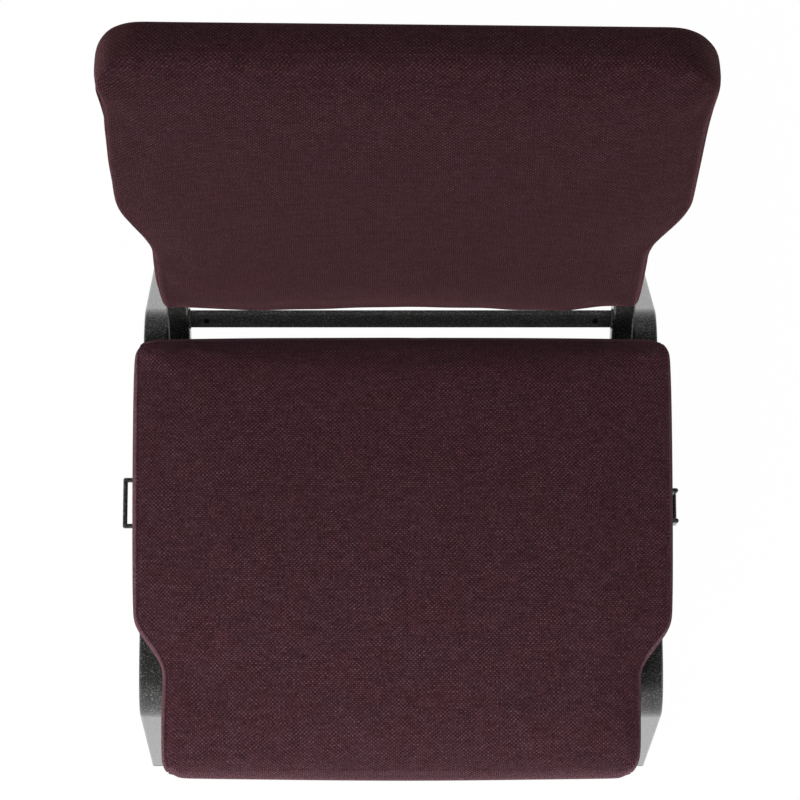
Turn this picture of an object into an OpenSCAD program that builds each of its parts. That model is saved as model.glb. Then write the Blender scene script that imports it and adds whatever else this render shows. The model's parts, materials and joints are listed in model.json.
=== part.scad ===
// Upholstered stacking church chair: bent tube frame, seat and back cushions.
// Front of the chair faces -Y, +Z is up, the floor is at z = 0.

/* [Side frames] */
// Width over the two side rails
frame_w = 523.2; // [480:0.1:560]
// Height of the top of the side rails
rail_top = 405; // [370:1:440]
// Front end of the straight part of the side rail
rail_front_y = -207; // [-225:0.1:-180]
// Rear end of the straight part of the side rail
rail_rear_y = 113.1; // [100:1:130]
// Side of the square leg tube
leg_tube = 25.4; // [22:0.1:30]
// Wall of the square tubes
tube_wall = 1.2; // [0.9:0.1:2]
// Outer corner radius of the square tubes
tube_corner = 3; // [2.2:0.1:5]
// Centreline radius of the leg bends
leg_bend_r = 38; // [30:1:50]
// Lean of the front legs, in degrees from upright
front_lean = 5.2; // [2:0.1:12]
// Lean of the rear legs, in degrees from upright
rear_lean = 23.5; // [16:0.5:25]
// Outward splay of the side frames, in degrees
splay = 2.4; // [0.5:0.1:3.5]

/* [Back uprights] */
// Side of the square upright tube
upright_tube = 22.225; // [16:0.005:23]
// Gap between a side rail and the run of the upright beside it
upright_gap = 0.8; // [0.4:0.1:10]
// Front end of the run of the upright under the seat
run_front_y = -205; // [-215:1:-185]
// Where the upright starts to bend up behind the seat
upright_bend_y = 93.5; // [88:0.5:100]
// Centreline radius of the bend behind the seat
upright_bend_r = 59.5; // [45:0.5:75]
// Straight neck between the bend and the back cushion
neck_len = 36; // [30:1:50]
// Lean of the back at its lower edge, in degrees from upright
back_lean_low = 17; // [12:0.5:20]
// Lean of the back at its top edge, in degrees from upright
back_lean_top = 25; // [22:0.5:30]

/* [Bars] */
// Thickness of the flat bars
bar_t = 6.35; // [4:0.05:8]
// Width of the flat bars between the uprights
bar_w = 19.05; // [16:0.05:25]
// Width of the flat straps under the seat
strap_w = 25.4; // [20:0.1:32]
// Lean of the lower back bar, in degrees from upright
bar_lean = 30; // [24:1:40]
// How far the accessory holes of the lower back bar sit in from the uprights
rack_hole_in = 17.2; // [12:0.25:40]
// Diameter of the accessory holes
rack_hole_d = 6.4; // [5:0.1:8]

/* [Seat cushion] */
// How far the seat stands out past the side rails
seat_side_out = 6.9; // [2:0.1:15]
// How much less it stands out at the rear end of the front notches
seat_mid_in = 2.5; // [0:0.5:6]
// Depth of the front notches, measured from there
notch_in = 31; // [15:0.5:40]
// Front edge of the seat
seat_front_y = -322.5; // [-340:0.5:-300]
// Rear edge of the seat
seat_rear_y = 116.5; // [110:0.5:118]
// Front end of the side notches
notch_front_y = -229; // [-245:1:-215]
// Rear end of the side notches
notch_rear_y = -166; // [-175:1:-140]
// Corner radius of the seat front
seat_front_r = 23; // [18:1:34]
// Corner radius of the seat rear
seat_rear_r = 22; // [16:1:30]
// Height of the seams above the seat board
seat_wall_h = 58; // [45:1:75]
// Rise of the crown over the seams
seat_crown = 19; // [10:1:28]
// Radius of the waterfall front
waterfall_r = 45; // [30:1:50]
// Radius of the rolled rear edge
rear_roll_r = 26; // [16:1:34]
// Thickness of the plywood seat board
seat_board_t = 12; // [9:1:16]

/* [Back cushion] */
// Length of the back cushion along its curve
back_len = 399; // [350:1:430]
// How far the lower back stands out past the uprights
back_low_out = 5.1; // [4:0.1:16]
// How far the shoulders of the back stand out past its lower part
shoulder_out = 32; // [15:0.5:45]
// How far the top of the back stands out past its shoulders
back_top_out = 4.5; // [0:0.5:10]
// Lower end of the curve of the shoulders, along the back
shoulder_from = 98; // [80:1:120]
// Upper end of the curve of the shoulders, along the back
shoulder_to = 198; // [180:1:220]
// Corner radius of the back top
back_top_r = 50; // [35:1:65]
// Corner radius of the back bottom
back_low_r = 6; // [4:0.5:6.5]
// Front of the back cushion ahead of the upright centreline, at its edges
back_front_depth = 28; // [26:1:36]
// Rear of the back cushion behind the upright centreline
back_rear_depth = 20.5; // [19:0.5:26]
// Rise of the crown of the back cushion
back_crown = 8; // [3:1:14]
// Thickness of the moulded plywood back board
back_board_t = 7; // [6:0.5:8]
// Thickness of the hardboard behind the uprights
rear_board_t = 3; // [2:0.5:4]

/* [Covers] */
// Thickness of the upholstery fabric
fabric_t = 1.2; // [0.8:0.1:1.8]
// How far the top seams sit inside the side edges
seam_in = 8; // [4:1:12]
// How far the seat cover turns in under the board
turn_in = 30; // [26:1:40]

/* [Ganging] */
// Diameter of the ganging wire
wire_d = 4.8; // [4:0.1:6]
// How far the loop and the hook stand out from the side rail
gang_reach = 19; // [15:0.1:24]
// Width over the ganging loop
loop_w = 51.6; // [46:0.2:60]
// Width over the ganging hook
hook_w = 35.6; // [30:0.2:38]
// Drop of the ganging hook
hook_drop = 26; // [20:1:34]
// Place of the loop and hook along the rail
gang_y = -44.5; // [-70:0.5:-10]
// The same for the hook, a little farther forward
hook_y = -47; // [-70:0.5:-10]

/* [Hidden] */

// Clearance between pieces that lie against each other
fit = 0.3;
// Overrun of a cut past the piece that it cuts
over = 5;
// How far the straight parts of a tube run into its bends
lap = 0.4;
// How much the wall of a tube is drawn thinner in a bend, on each side
drawn = 0.03;
bend_fn = 96;
hole_fn = 48;
sweep_fn = 256;

frame_colour = [0.20, 0.20, 0.20];
zinc_colour = [0.72, 0.72, 0.70];
black_colour = [0.09, 0.09, 0.09];
fabric_colour = [0.24, 0.15, 0.17];
foam_colour = [0.90, 0.86, 0.68];
wood_colour = [0.74, 0.60, 0.42];
board_colour = [0.45, 0.33, 0.22];

// Side frames
rail_z = rail_top - leg_tube / 2;
rail_x = frame_w / 2 - leg_tube / 2;
glide_t = 4;
glide_stem = 22;
front_bend = [rail_front_y, rail_z - leg_bend_r];
rear_bend = [rail_rear_y, rail_z - leg_bend_r];
leg_cut = rail_top;

// Uprights and the curve of the back
run_z = rail_top - upright_tube / 2;
upright_x = frame_w / 2 - leg_tube - upright_gap - upright_tube / 2;
bend_c = [upright_bend_y, run_z + upright_bend_r];
neck_from = bend_c + upright_bend_r * [cos(back_lean_low), -sin(back_lean_low)];
back_from = neck_from + neck_len * [sin(back_lean_low), cos(back_lean_low)];
back_r = back_len / (back_lean_top - back_lean_low) * 180 / PI;
back_c = back_from + back_r * [cos(back_lean_low), -sin(back_lean_low)];
upright_end = back_len - 62;
upper_bar_s = upright_end - bar_w;

// Straps, bolts and screws
front_strap_y = run_front_y + 2 * upright_tube;
rear_strap_y = upright_bend_y - 3 * upright_tube;
bolt_y = [front_strap_y + 2 * strap_w, rear_strap_y + 1.5 * strap_w];
bolt_r = 3;
bolt_head_r = 5.8;
bolt_head_h = 4;
washer_r = 8;
washer_t = 1.6;
washer_z = rail_top - upright_tube - washer_t;
nut_barrel_r = 4;
nut_flange_r = 9.5;
nut_flange_t = 1.5;
thread_fit = 0.15;
screw_r = 2.5;
screw_head_r = 4.4;
screw_head_h = 3;
screw_nut_r = 3.4;
screw_flange_r = 8;
screw_shares = [0.3, 0.72];
access_r = 5.5;

// Seat stack, from the rails up
dust_t = 0.8;
dust_z = rail_top + fit;
lip_z = dust_z + dust_t + fit;
board_z = lip_z + fabric_t + fit;
board_top = board_z + seat_board_t;
seam_z = board_top + seat_wall_h;
board_in = 14;
dust_in = 22;
seat_w = frame_w + 2 * seat_side_out;
seat_mid_w = seat_w - 2 * seat_mid_in;
seat_front_w = seat_mid_w - 2 * notch_in;
seat_yc = (seat_front_y + seat_rear_y) / 2;
seat_rear_bow = 3;
seat_front_bow = 1.5;

// Back widths, and its stack out from the centreline of the uprights
back_low_w = 2 * (upright_x + back_low_out) + upright_tube;
back_shoulder_w = back_low_w + 2 * shoulder_out;
back_top_w = back_shoulder_w + 2 * back_top_out;
board_n = upright_tube / 2 + fit;
foam_n = board_n + back_board_t + fit;
back_roll_low = 13;
back_roll_top = 18;
board_from = back_roll_low;
board_to = back_len - back_roll_top;
strip_t = 2;

// Bumpers under the rails
bumper_r = 6;
bumper_t = 3;
bumper_stem_r = 2.4;
bumper_stem = 6;
bumper_y = [rail_front_y + 2 * leg_tube, rail_rear_y - 3 * leg_tube];

// How far the lower edge of the seat cover is drawn in, and its side just above it
foot_in = 12;
low_in = 2;
low_h = 10;

// Shares of the rings of the seat's crown, on the outside of the cover and on its inside
outer_shares = [0.88, 0.72, 0.54, 0.34, 0.14];
inner_shares = [0.82, 0.56, 0.26];

// Shares of the points across a face of the back, and of the points of its side: draw-in, and place from rear to front
face_shares = [0, 0.25, 0.5, 0.72, 0.89];
side_shares = [[1, 0.98], [0.3, 0.76], [0, 0.5], [0.15, 0.2], [0.7, 0.02]];

// Shares of the places of the rings along the back
low_shares = [0, 0.02, 0.07, 0.2, 0.6, 1];
shoulder_shares = [0.2, 0.4, 0.6, 0.8, 1];
top_shares = [0.35, 0.75, 1];

// Square of a tube with round corners
module rounded_square(side, r) {
    square([side, side - 2 * r], center = true);
    square([side - 2 * r, side], center = true);
    for (x = [-1, 1], y = [-1, 1])
        translate([x * (side / 2 - r), y * (side / 2 - r)]) circle(r, $fn = hole_fn);
}

module tube_section(side, thin = 0) {
    difference() {
        rounded_square(side - 2 * thin, tube_corner - thin);
        rounded_square(side - 2 * tube_wall + 2 * thin, tube_corner - tube_wall + thin);
    }
}

// Straight tube along +Z from 0 to l, with its laps
module tube(side, l, before = 0, after = 0) {
    translate([0, 0, -before]) linear_extrude(l + before + after) tube_section(side);
}

// Sweep of a flat section round a centre in the plane of Y and Z. The angle grows from -Y towards +Z.
module yz_arc(c, from, to, fn = bend_fn) {
    translate([0, c[0], c[1]]) rotate([90, 0, -90]) rotate([0, 0, from])
        rotate_extrude(angle = to - from, $fn = fn) children();
}

function arc_end(c, r, a) = [0, c[0] - r * cos(a), c[1] + r * sin(a)];

// Place in the tilted plane of the right side frame, with the local origin on the rail's centreline height
module in_side_plane() {
    translate([rail_x, 0, rail_z]) rotate([0, -splay, 0]) translate([0, 0, -rail_z]) children();
}

// Everything outboard of the frame's inner face, to cut what is welded there
module outboard_of_inner_face() {
    in_side_plane() translate([-leg_tube / 2, rail_front_y * 2, 0]) cube([2 * frame_w, 4 * frame_w, 2 * rail_top]);
}

module inboard_of_outer_face() {
    in_side_plane() translate([leg_tube / 2 - frame_w, rail_front_y * 2, 0]) cube([frame_w, 4 * frame_w, 2 * rail_top]);
}

// One inverted U: front leg, side rail and rear leg, bent from one tube
module leg_frame() {
    color(frame_colour) {
        in_side_plane() {
            difference() {
                translate([0, rail_front_y, rail_z]) rotate([-90, 0, 0])
                    tube(leg_tube, rail_rear_y - rail_front_y, lap, lap);
                for (y = bumper_y) translate([0, y, rail_top - leg_tube - over])
                    cylinder(r = bumper_stem_r + thread_fit, h = 2 * tube_wall + over, $fn = hole_fn);
            }
            yz_arc(front_bend, front_lean, 90) translate([leg_bend_r, 0]) tube_section(leg_tube, drawn);
            yz_arc(rear_bend, 90, 180 - rear_lean) translate([leg_bend_r, 0]) tube_section(leg_tube, drawn);
        }
        difference() {
            in_side_plane() {
                translate(arc_end(front_bend, leg_bend_r, front_lean)) rotate([180 - front_lean, 0, 0])
                    tube(leg_tube, leg_cut, lap);
                translate(arc_end(rear_bend, leg_bend_r, 180 - rear_lean)) rotate([180 + rear_lean, 0, 0])
                    tube(leg_tube, leg_cut, lap);
            }
            translate([0, -2 * frame_w, glide_t - rail_top]) cube([2 * frame_w, 4 * frame_w, rail_top]);
        }
    }
}

module right_leg_frame() leg_frame();
module left_leg_frame() mirror([1, 0, 0]) leg_frame();

// Plastic glide: a flat pad under the cut end of the leg, with a stem inside the tube
module glide(c, a, turn) {
    module along(side, r) {
        in_side_plane() translate(arc_end(c, leg_bend_r, a)) rotate([turn, 0, 0])
            linear_extrude(leg_cut + rail_top / 2) rounded_square(side, r);
    }
    color(black_colour) union() {
        intersection() {
            along(leg_tube, tube_corner);
            translate([0, -2 * frame_w, 0]) cube([2 * frame_w, 4 * frame_w, glide_t]);
        }
        intersection() {
            along(leg_tube - 2 * tube_wall - 2 * fit, tube_corner - tube_wall);
            translate([0, -2 * frame_w, glide_t]) cube([2 * frame_w, 4 * frame_w, glide_stem]);
        }
    }
}

module front_right_glide() glide(front_bend, front_lean, 180 - front_lean);
module rear_right_glide() glide(rear_bend, 180 - rear_lean, 180 + rear_lean);
module front_left_glide() mirror([1, 0, 0]) front_right_glide();
module rear_left_glide() mirror([1, 0, 0]) rear_right_glide();

// Back upright: a run under the seat, a bend, a neck and the curve of the back, from one tube
module back_upright() {
    color(frame_colour) {
        difference() {
            translate([upright_x, run_front_y, run_z]) rotate([-90, 0, 0])
                tube(upright_tube, upright_bend_y - run_front_y, 0, lap);
            at_bolt(run_z - upright_tube) cylinder(r = bolt_r + fit, h = 2 * upright_tube, $fn = hole_fn);
        }
        translate([upright_x, 0, 0]) yz_arc(bend_c, 180 + back_lean_low, 270)
            translate([upright_bend_r, 0]) tube_section(upright_tube, drawn);
        translate([upright_x, neck_from[0], neck_from[1]]) rotate([-back_lean_low, 0, 0])
            tube(upright_tube, neck_len, lap, lap);
        difference() {
            translate([upright_x, 0, 0]) yz_arc(back_c, back_lean_low, back_angle(upright_end), sweep_fn)
                translate([back_r, 0]) tube_section(upright_tube, drawn);
            at_screw() {
                cylinder(r = screw_r + fit, h = upright_tube, $fn = hole_fn);
                translate([0, 0, -upright_tube]) cylinder(r = access_r, h = upright_tube, $fn = hole_fn);
            }
        }
    }
}

// Places of the seat bolts and of the back screws on the right side
module at_bolt(z) {
    for (y = bolt_y) translate([upright_x, y, z]) children();
}

module at_screw() {
    for (k = screw_shares) at_back(upright_x, k * upright_end) children();
}

module both_sides() {
    children();
    mirror([1, 0, 0]) children();
}

module right_back_upright() back_upright();
module left_back_upright() mirror([1, 0, 0]) back_upright();

// Flat strap under the runs, welded to the inner faces of both side frames
module seat_strap(y) {
    color(frame_colour) difference() {
        translate([-frame_w / 2, y - strap_w / 2, rail_top - upright_tube - bar_t]) cube([frame_w, strap_w, bar_t]);
        outboard_of_inner_face();
        mirror([1, 0, 0]) outboard_of_inner_face();
    }
}

module front_seat_strap() seat_strap(front_strap_y);
module rear_seat_strap() seat_strap(rear_strap_y);

bar_len = 2 * upright_x - upright_tube;

// Flat bar across the bends of the uprights, with the two accessory holes
module lower_back_bar() {
    p = arc_end(bend_c, upright_bend_r - upright_tube / 2, 180 + bar_lean);
    color(frame_colour) translate(p) rotate([-bar_lean, 0, 0]) difference() {
        translate([-bar_len / 2, 0, -bar_w / 2]) cube([bar_len, bar_t, bar_w]);
        for (x = [-1, 1]) translate([x * (bar_len / 2 - rack_hole_in), -over, 0]) rotate([-90, 0, 0])
            cylinder(d = rack_hole_d, h = bar_t + 2 * over, $fn = hole_fn);
    }
}

// Flat bar that ties the tops of the uprights inside the back
module upper_back_bar() {
    color(frame_colour) at_back(0, upper_bar_s)
        translate([-bar_len / 2, -bar_w / 2, upright_tube / 2 - bar_t]) cube([bar_len, bar_w, bar_t - fit]);
}

// Plugs in the open front ends of the runs
module run_end_plugs() {
    color(black_colour) for (s = [-1, 1]) translate([s * upright_x, run_front_y, run_z]) rotate([90, 0, 0]) {
        linear_extrude(tube_wall) rounded_square(upright_tube, tube_corner);
        translate([0, 0, -upright_tube / 2])
            linear_extrude(upright_tube / 2) rounded_square(upright_tube - 2 * tube_wall - 2 * fit, tube_corner - tube_wall);
    }
}

// Soft buttons under the rails, which land on the frame of the chair below in a stack
module stacking_bumpers() {
    color(black_colour) for (s = [0, 1], y = bumper_y) mirror([s, 0, 0]) in_side_plane()
        translate([0, y, rail_top - leg_tube]) {
            translate([0, 0, -bumper_t]) cylinder(r = bumper_r, h = bumper_t, $fn = hole_fn);
            cylinder(r = bumper_stem_r, h = bumper_stem, $fn = hole_fn);
        }
}

// A run of wire along +X, and the round corner where two runs meet
wire_r = wire_d / 2;
module wire(l) rotate([0, 90, 0]) cylinder(r = wire_r, h = l, $fn = hole_fn);
module wire_corner() sphere(r = wire_r + drawn, $fn = hole_fn);

rail_face_x = frame_w / 2;
gang_arm = gang_reach - wire_r;

// Closed side of the ganging pair: a flat loop of wire on the left rail
module ganging_loop() {
    arm_y = loop_w / 2 - wire_r;
    color(frame_colour) mirror([1, 0, 0]) difference() {
        translate([rail_face_x, gang_y, rail_z]) {
            for (s = [0, 1]) mirror([0, s, 0]) translate([0, -arm_y, 0]) {
                translate([-wire_d, 0, 0]) wire(wire_d + gang_arm);
                translate([gang_arm, 0, 0]) wire_corner();
            }
            translate([gang_arm, -arm_y, 0]) rotate([0, 0, 90]) wire(2 * arm_y);
        }
        inboard_of_outer_face();
    }
}

// Open side of the ganging pair: wire that reaches out and turns down, closed at the bottom
module ganging_hook() {
    arm_y = hook_w / 2 - wire_r;
    down = hook_drop - wire_d;
    color(frame_colour) difference() {
        translate([rail_face_x, hook_y, rail_z]) {
            for (s = [0, 1]) mirror([0, s, 0]) translate([0, -arm_y, 0]) {
                translate([-wire_d, 0, 0]) wire(wire_d + gang_arm);
                translate([gang_arm, 0, 0]) {
                    wire_corner();
                    rotate([0, 90, 0]) wire(down);
                    translate([0, 0, -down]) wire_corner();
                }
            }
            translate([gang_arm, -arm_y, -down]) rotate([0, 0, 90]) wire(2 * arm_y);
        }
        inboard_of_outer_face();
    }
}

// Right half of the seat outline, drawn in by d, from the front middle round to the rear middle
edge_shares = [0, 0.3, 0.6, 0.85];
function blend(t) = 0.5 - 0.5 * cos(180 * t);
function bow(x, w, b) = b * pow(x / w, 2);
function seat_half(d) = let (
        wf = seat_front_w / 2 - d, wm = seat_mid_w / 2 - d, ws = seat_w / 2 - d,
        yf = seat_front_y + d, yr = seat_rear_y - d,
        rf = max(seat_front_r - d, seat_front_r / 4), rr = max(seat_rear_r - d, seat_rear_r / 4),
        bf = bow(wf - rf, wf, seat_front_bow), br = bow(ws - rr, ws, seat_rear_bow))
    concat(
        [for (k = edge_shares) [k * (wf - rf), yf + k * k * bf]],
        [for (a = [0 : 22.5 : 90]) [wf - rf + rf * sin(a), yf + rf - (rf - bf) * cos(a)]],
        [[wf, (yf + rf + notch_front_y) / 2]],
        [for (t = [0 : 1 / 6 : 1]) [wf + (wm - wf) * blend(t), notch_front_y + (notch_rear_y - notch_front_y) * t]],
        [for (t = [0.3 : 0.35 : 0.65]) [wm + (ws - wm) * sin(90 * t), notch_rear_y + (yr - rr - notch_rear_y) * t]],
        [for (a = [0 : 22.5 : 90]) [ws - rr + rr * cos(a), yr - rr + (rr - br) * sin(a)]],
        [for (k = reverse(edge_shares)) [k * (ws - rr), yr - k * k * br]]);

function reverse(v) = [for (i = [len(v) - 1 : -1 : 0]) v[i]];
function flat(v) = [for (a = v, b = a) b];

// The whole outline: the right half, then its mirror image back to the front, without the two middle points
function both_halves(h) = concat(h, [for (i = [len(h) - 2 : -1 : 1]) [-h[i][0], h[i][1]]]);
function seat_outline(d) = both_halves(seat_half(d));

// Drop of the top surface over the waterfall front and the rolled rear edge
function roll(r, e) = e >= r ? 0 : r - sqrt(r * r - pow(r - max(e, 0), 2));
function seat_drop(y, off) = roll(waterfall_r, y - seat_front_y - off) + roll(rear_roll_r, seat_rear_y - off - y);

// One ring of the seat: drawn in by d, at height z, shrunk towards the middle by k, and off inside the cover's face
function seat_ring(d, z, k, off) = [for (p = seat_outline(d + off))
    let (y = seat_yc + (p[1] - seat_yc) * k, drop = seat_drop(y, off))
    [p[0] * k, y, z < seam_z ? min(z, seam_z - off - drop) : z - off - drop]];
function flat_ring(d, z) = [for (p = seat_outline(d)) [p[0], p[1], z]];

// Rings from above the lower edge of the side up to the middle of the crown
function seat_rings(off, shares) = concat(
    [seat_ring(low_in, board_z + low_h, 1, off),
     seat_ring(0, (board_z + seam_z) / 2, 1, off),
     seat_ring(seam_in * 0.35, seam_z - low_h, 1, off),
     seat_ring(seam_in, seam_z, 1, off),
     seat_ring(2 * seam_in, seam_z + 0.3 * seat_crown, 1, off)],
    [for (k = shares) seat_ring(2 * seam_in, seam_z + seat_crown * (1 - 0.7 * pow(k, 2.4)), k, off)]);

// Closed skin through a stack of rings with the same number of points, closed by a point at each end
module loft(rings, first, last) {
    n = len(rings[0]);
    m = len(rings);
    polyhedron(
        points = concat([first], flat(rings), [last]),
        faces = concat(
            [for (j = [0 : n - 1]) [0, 1 + j, 1 + (j + 1) % n]],
            [for (i = [0 : m - 2], j = [0 : n - 1]) let (a = 1 + i * n + j, b = 1 + i * n + (j + 1) % n) [a, a + n, b + n]],
            [for (i = [0 : m - 2], j = [0 : n - 1]) let (a = 1 + i * n + j, b = 1 + i * n + (j + 1) % n) [a, b + n, b]],
            [for (j = [0 : n - 1]) [m * n + 1, 1 + (m - 1) * n + (j + 1) % n, 1 + (m - 1) * n + j]]));
}

// Seat cover: a sewn shell over foam and board, open below, its edge turned in under the board
module seat_cover() {
    top = seam_z + seat_crown;
    color(fabric_colour) loft(
        concat(reverse(seat_rings(fabric_t, inner_shares)),
            [flat_ring(foot_in + fabric_t, lip_z + fabric_t),
             flat_ring(turn_in, lip_z + fabric_t),
             flat_ring(turn_in, lip_z),
             flat_ring(foot_in, lip_z)],
            seat_rings(0, outer_shares)),
        [0, seat_yc, top - fabric_t], [0, seat_yc, top]);
}

module seat_foam() {
    off = fabric_t + fit;
    rings = seat_rings(off, inner_shares);
    color(foam_colour) loft(
        concat([flat_ring(board_in, board_top + fit)], [for (i = [1 : len(rings) - 1]) rings[i]]),
        [0, seat_yc, board_top + fit], [0, seat_yc, seam_z + seat_crown - off]);
}

module seat_board() {
    color(wood_colour) difference() {
        translate([0, 0, board_z]) linear_extrude(seat_board_t) polygon(seat_outline(board_in));
        both_sides() at_bolt(0) {
            translate([0, 0, board_z - over])
                cylinder(r = nut_barrel_r + thread_fit, h = seat_board_t + 2 * over, $fn = hole_fn);
            translate([0, 0, board_top - nut_flange_t - fit])
                cylinder(r = nut_flange_r + fit, h = over, $fn = hole_fn);
        }
    }
}

// Black dust cover stapled under the seat
module seat_dust_cover() {
    color(black_colour) difference() {
        translate([0, 0, dust_z]) linear_extrude(dust_t) polygon(seat_outline(dust_in));
        both_sides() at_bolt(dust_z - over)
            cylinder(r = nut_barrel_r + fit, h = dust_t + 2 * over, $fn = hole_fn);
    }
}

module seat_bolts() {
    color(zinc_colour) both_sides() at_bolt(washer_z) {
        cylinder(r = bolt_r, h = board_top - nut_flange_t - washer_z, $fn = hole_fn);
        translate([0, 0, -bolt_head_h]) cylinder(r = bolt_head_r, h = bolt_head_h, $fn = hole_fn);
    }
}

module seat_bolt_washers() {
    color(zinc_colour) both_sides() at_bolt(washer_z) difference() {
        cylinder(r = washer_r, h = washer_t, $fn = hole_fn);
        translate([0, 0, -over]) cylinder(r = bolt_r + fit, h = washer_t + 2 * over, $fn = hole_fn);
    }
}

// Threaded nut with a round flange on top, and the hole through it
module tee_nut(flange_r, barrel_r, barrel, bore_r) {
    difference() {
        union() {
            translate([0, 0, -nut_flange_t]) cylinder(r = flange_r, h = nut_flange_t, $fn = hole_fn);
            translate([0, 0, -barrel]) cylinder(r = barrel_r, h = barrel, $fn = hole_fn);
        }
        translate([0, 0, -2 * barrel]) cylinder(r = bore_r, h = 3 * barrel, $fn = hole_fn);
    }
}

module seat_tee_nuts() {
    color(zinc_colour) both_sides() at_bolt(board_top - fit / 2)
        tee_nut(nut_flange_r, nut_barrel_r, seat_board_t * 0.75, bolt_r + thread_fit);
}

// A point of the back: x across, s up along the curve from the lower edge, n towards the front
function back_angle(s) = back_lean_low + s / back_r * 180 / PI;
function back_pt(x, s, n) = let (a = back_angle(s))
    [x, back_c[0] - (back_r + n) * cos(a), back_c[1] + (back_r + n) * sin(a)];

// Local axes at a point of the back: x across, y up, z towards the front
module at_back(x, s) {
    translate(back_pt(x, s, 0)) rotate([90 - back_angle(s), 0, 0]) children();
}

// Half width of the back at s, drawn in by d
function arc_in(r, e) = r - sqrt(r * r - pow(min(e, r), 2));
function back_half_w(s, d) = let (low = back_low_w / 2, sh = back_shoulder_w / 2, top = back_top_w / 2,
        straight_to = back_len - back_top_r, k = (s - shoulder_to) / (straight_to - shoulder_to))
    (s < shoulder_from ? low - arc_in(back_low_r, max(back_low_r - max(s - d, 0), 0))
        : s < shoulder_to ? low + (sh - low) * blend((s - shoulder_from) / (shoulder_to - shoulder_from))
        : sh + (top - sh) * min(1, k) - arc_in(back_top_r, max(s + d - straight_to, 0))) - d;

// How much the cushion's faces draw back towards its lower and top edges
function back_thin(s, off) = roll(back_roll_low, s - off) + roll(back_roll_top, back_len - off - s);
function back_front(s, off) = back_front_depth - off - 0.6 * back_thin(s, off);
function back_rear(s, off) = -back_rear_depth + off + 0.35 * back_thin(s, off);
function back_lift(s) = back_crown * (1 - pow(2 * s / back_len - 1, 4));

// One ring of the back cushion at s, off inside the cover's face, from the front middle round by the right side
function back_ring(s, off) = let (
        w = back_half_w(s, off), nf = back_front(s, off), nr = back_rear(s, off), t = nf - nr, wi = w - seam_in,
        h = concat(
            [for (k = face_shares) [k * wi, nf + back_lift(s) * (1 - pow(k, 2.4))]],
            [for (p = side_shares) [w - p[0] * seam_in, nr + p[1] * t]],
            [for (k = reverse(face_shares)) [k * wi, nr - 0.15 * back_lift(s) * (1 - k * k)]]))
    [for (p = both_halves(h)) back_pt(p[0], s, p[1])];

// Places of the rings along the back: lower part, shoulders, top part and top corners
function back_places(off) = concat(
    [for (k = low_shares) off + k * (shoulder_from - off)],
    [for (k = shoulder_shares) shoulder_from + k * (shoulder_to - shoulder_from)],
    [for (k = top_shares) shoulder_to + k * (back_len - back_top_r - shoulder_to)],
    [for (a = [25 : 16.25 : 90]) back_len - off - back_top_r + back_top_r * sin(a) + off * (1 - sin(a))]);

// Back cover: one sewn sleeve, open at the bottom where the uprights come in
module back_cover() {
    color(fabric_colour) loft(
        concat(reverse([for (s = back_places(fabric_t)) back_ring(s, fabric_t)]),
            [for (s = back_places(0)) back_ring(s, 0)]),
        back_pt(0, back_len - fabric_t, 0), back_pt(0, back_len, 0));
}

// Half outline of a board of the back, drawn in by d, as half widths at places along the back
function sheet_places(s_from, s_to) = concat(
    [for (k = [0 : 0.5 : 1]) s_from + k * (shoulder_from - s_from)],
    [for (k = shoulder_shares) shoulder_from + k * (shoulder_to - shoulder_from)],
    [for (a = [0 : 15 : 90]) s_to - back_top_r * (1 - sin(a))]);

// Curved board between two depths, cut to the outline of the back drawn in by d
module back_sheet(n_from, n_to, d, s_from, s_to) {
    mid = back_len / 2;
    am = back_angle(mid);
    side = [for (s = sheet_places(s_from, s_to)) [back_half_w(s, d), back_r * sin(back_angle(s) - am)]];
    intersection() {
        yz_arc(back_c, back_angle(s_from), back_angle(s_to), sweep_fn)
            translate([back_r + n_from, -back_top_w]) square([n_to - n_from, 2 * back_top_w]);
        translate(back_pt(0, mid, 0)) rotate([90 - am, 0, 0])
            linear_extrude(back_len, center = true) polygon(concat(side, [for (p = reverse(side)) [-p[0], p[1]]]));
    }
}

module back_board() {
    color(wood_colour) difference() {
        back_sheet(board_n, board_n + back_board_t, seam_in, board_from, board_to);
        both_sides() at_screw() {
            cylinder(r = screw_nut_r + thread_fit, h = back_front_depth, $fn = hole_fn);
            translate([0, 0, board_n + back_board_t - nut_flange_t - fit])
                cylinder(r = screw_flange_r + fit, h = back_front_depth, $fn = hole_fn);
        }
    }
}

// Foam between the board and the front of the cover, with a flat back against the board
function foam_ring(s, off) = let (
        w = back_half_w(s, off) - 1.2 * seam_in, nf = max(back_front(s, off), foam_n + 2 * fit),
        h = concat(
            [for (k = face_shares) [k * w, nf + back_lift(s) * (1 - pow(k, 2.4))]],
            [[w, nf - fit], [w, foam_n]],
            [for (k = reverse(face_shares)) [k * w, foam_n]]))
    [for (p = both_halves(h)) back_pt(p[0], s, p[1])];

module back_foam() {
    off = fabric_t + fit;
    places = [for (s = back_places(off)) if (s > board_from && s < board_to) s];
    color(foam_colour) loft([for (s = places) foam_ring(s, off)],
        back_pt(0, places[0], foam_n + fit), back_pt(0, places[len(places) - 1], foam_n + fit));
}

module back_rear_board() {
    color(board_colour) back_sheet(-board_n - rear_board_t, -board_n, seam_in, board_from, board_to);
}

// Thin pad on the rear board
module back_rear_pad() {
    color(foam_colour) back_sheet(-back_rear_depth + fabric_t + fit, -board_n - rear_board_t - fit, seam_in + fit,
        2 * board_from, back_len - 2 * back_roll_top);
}

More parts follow.
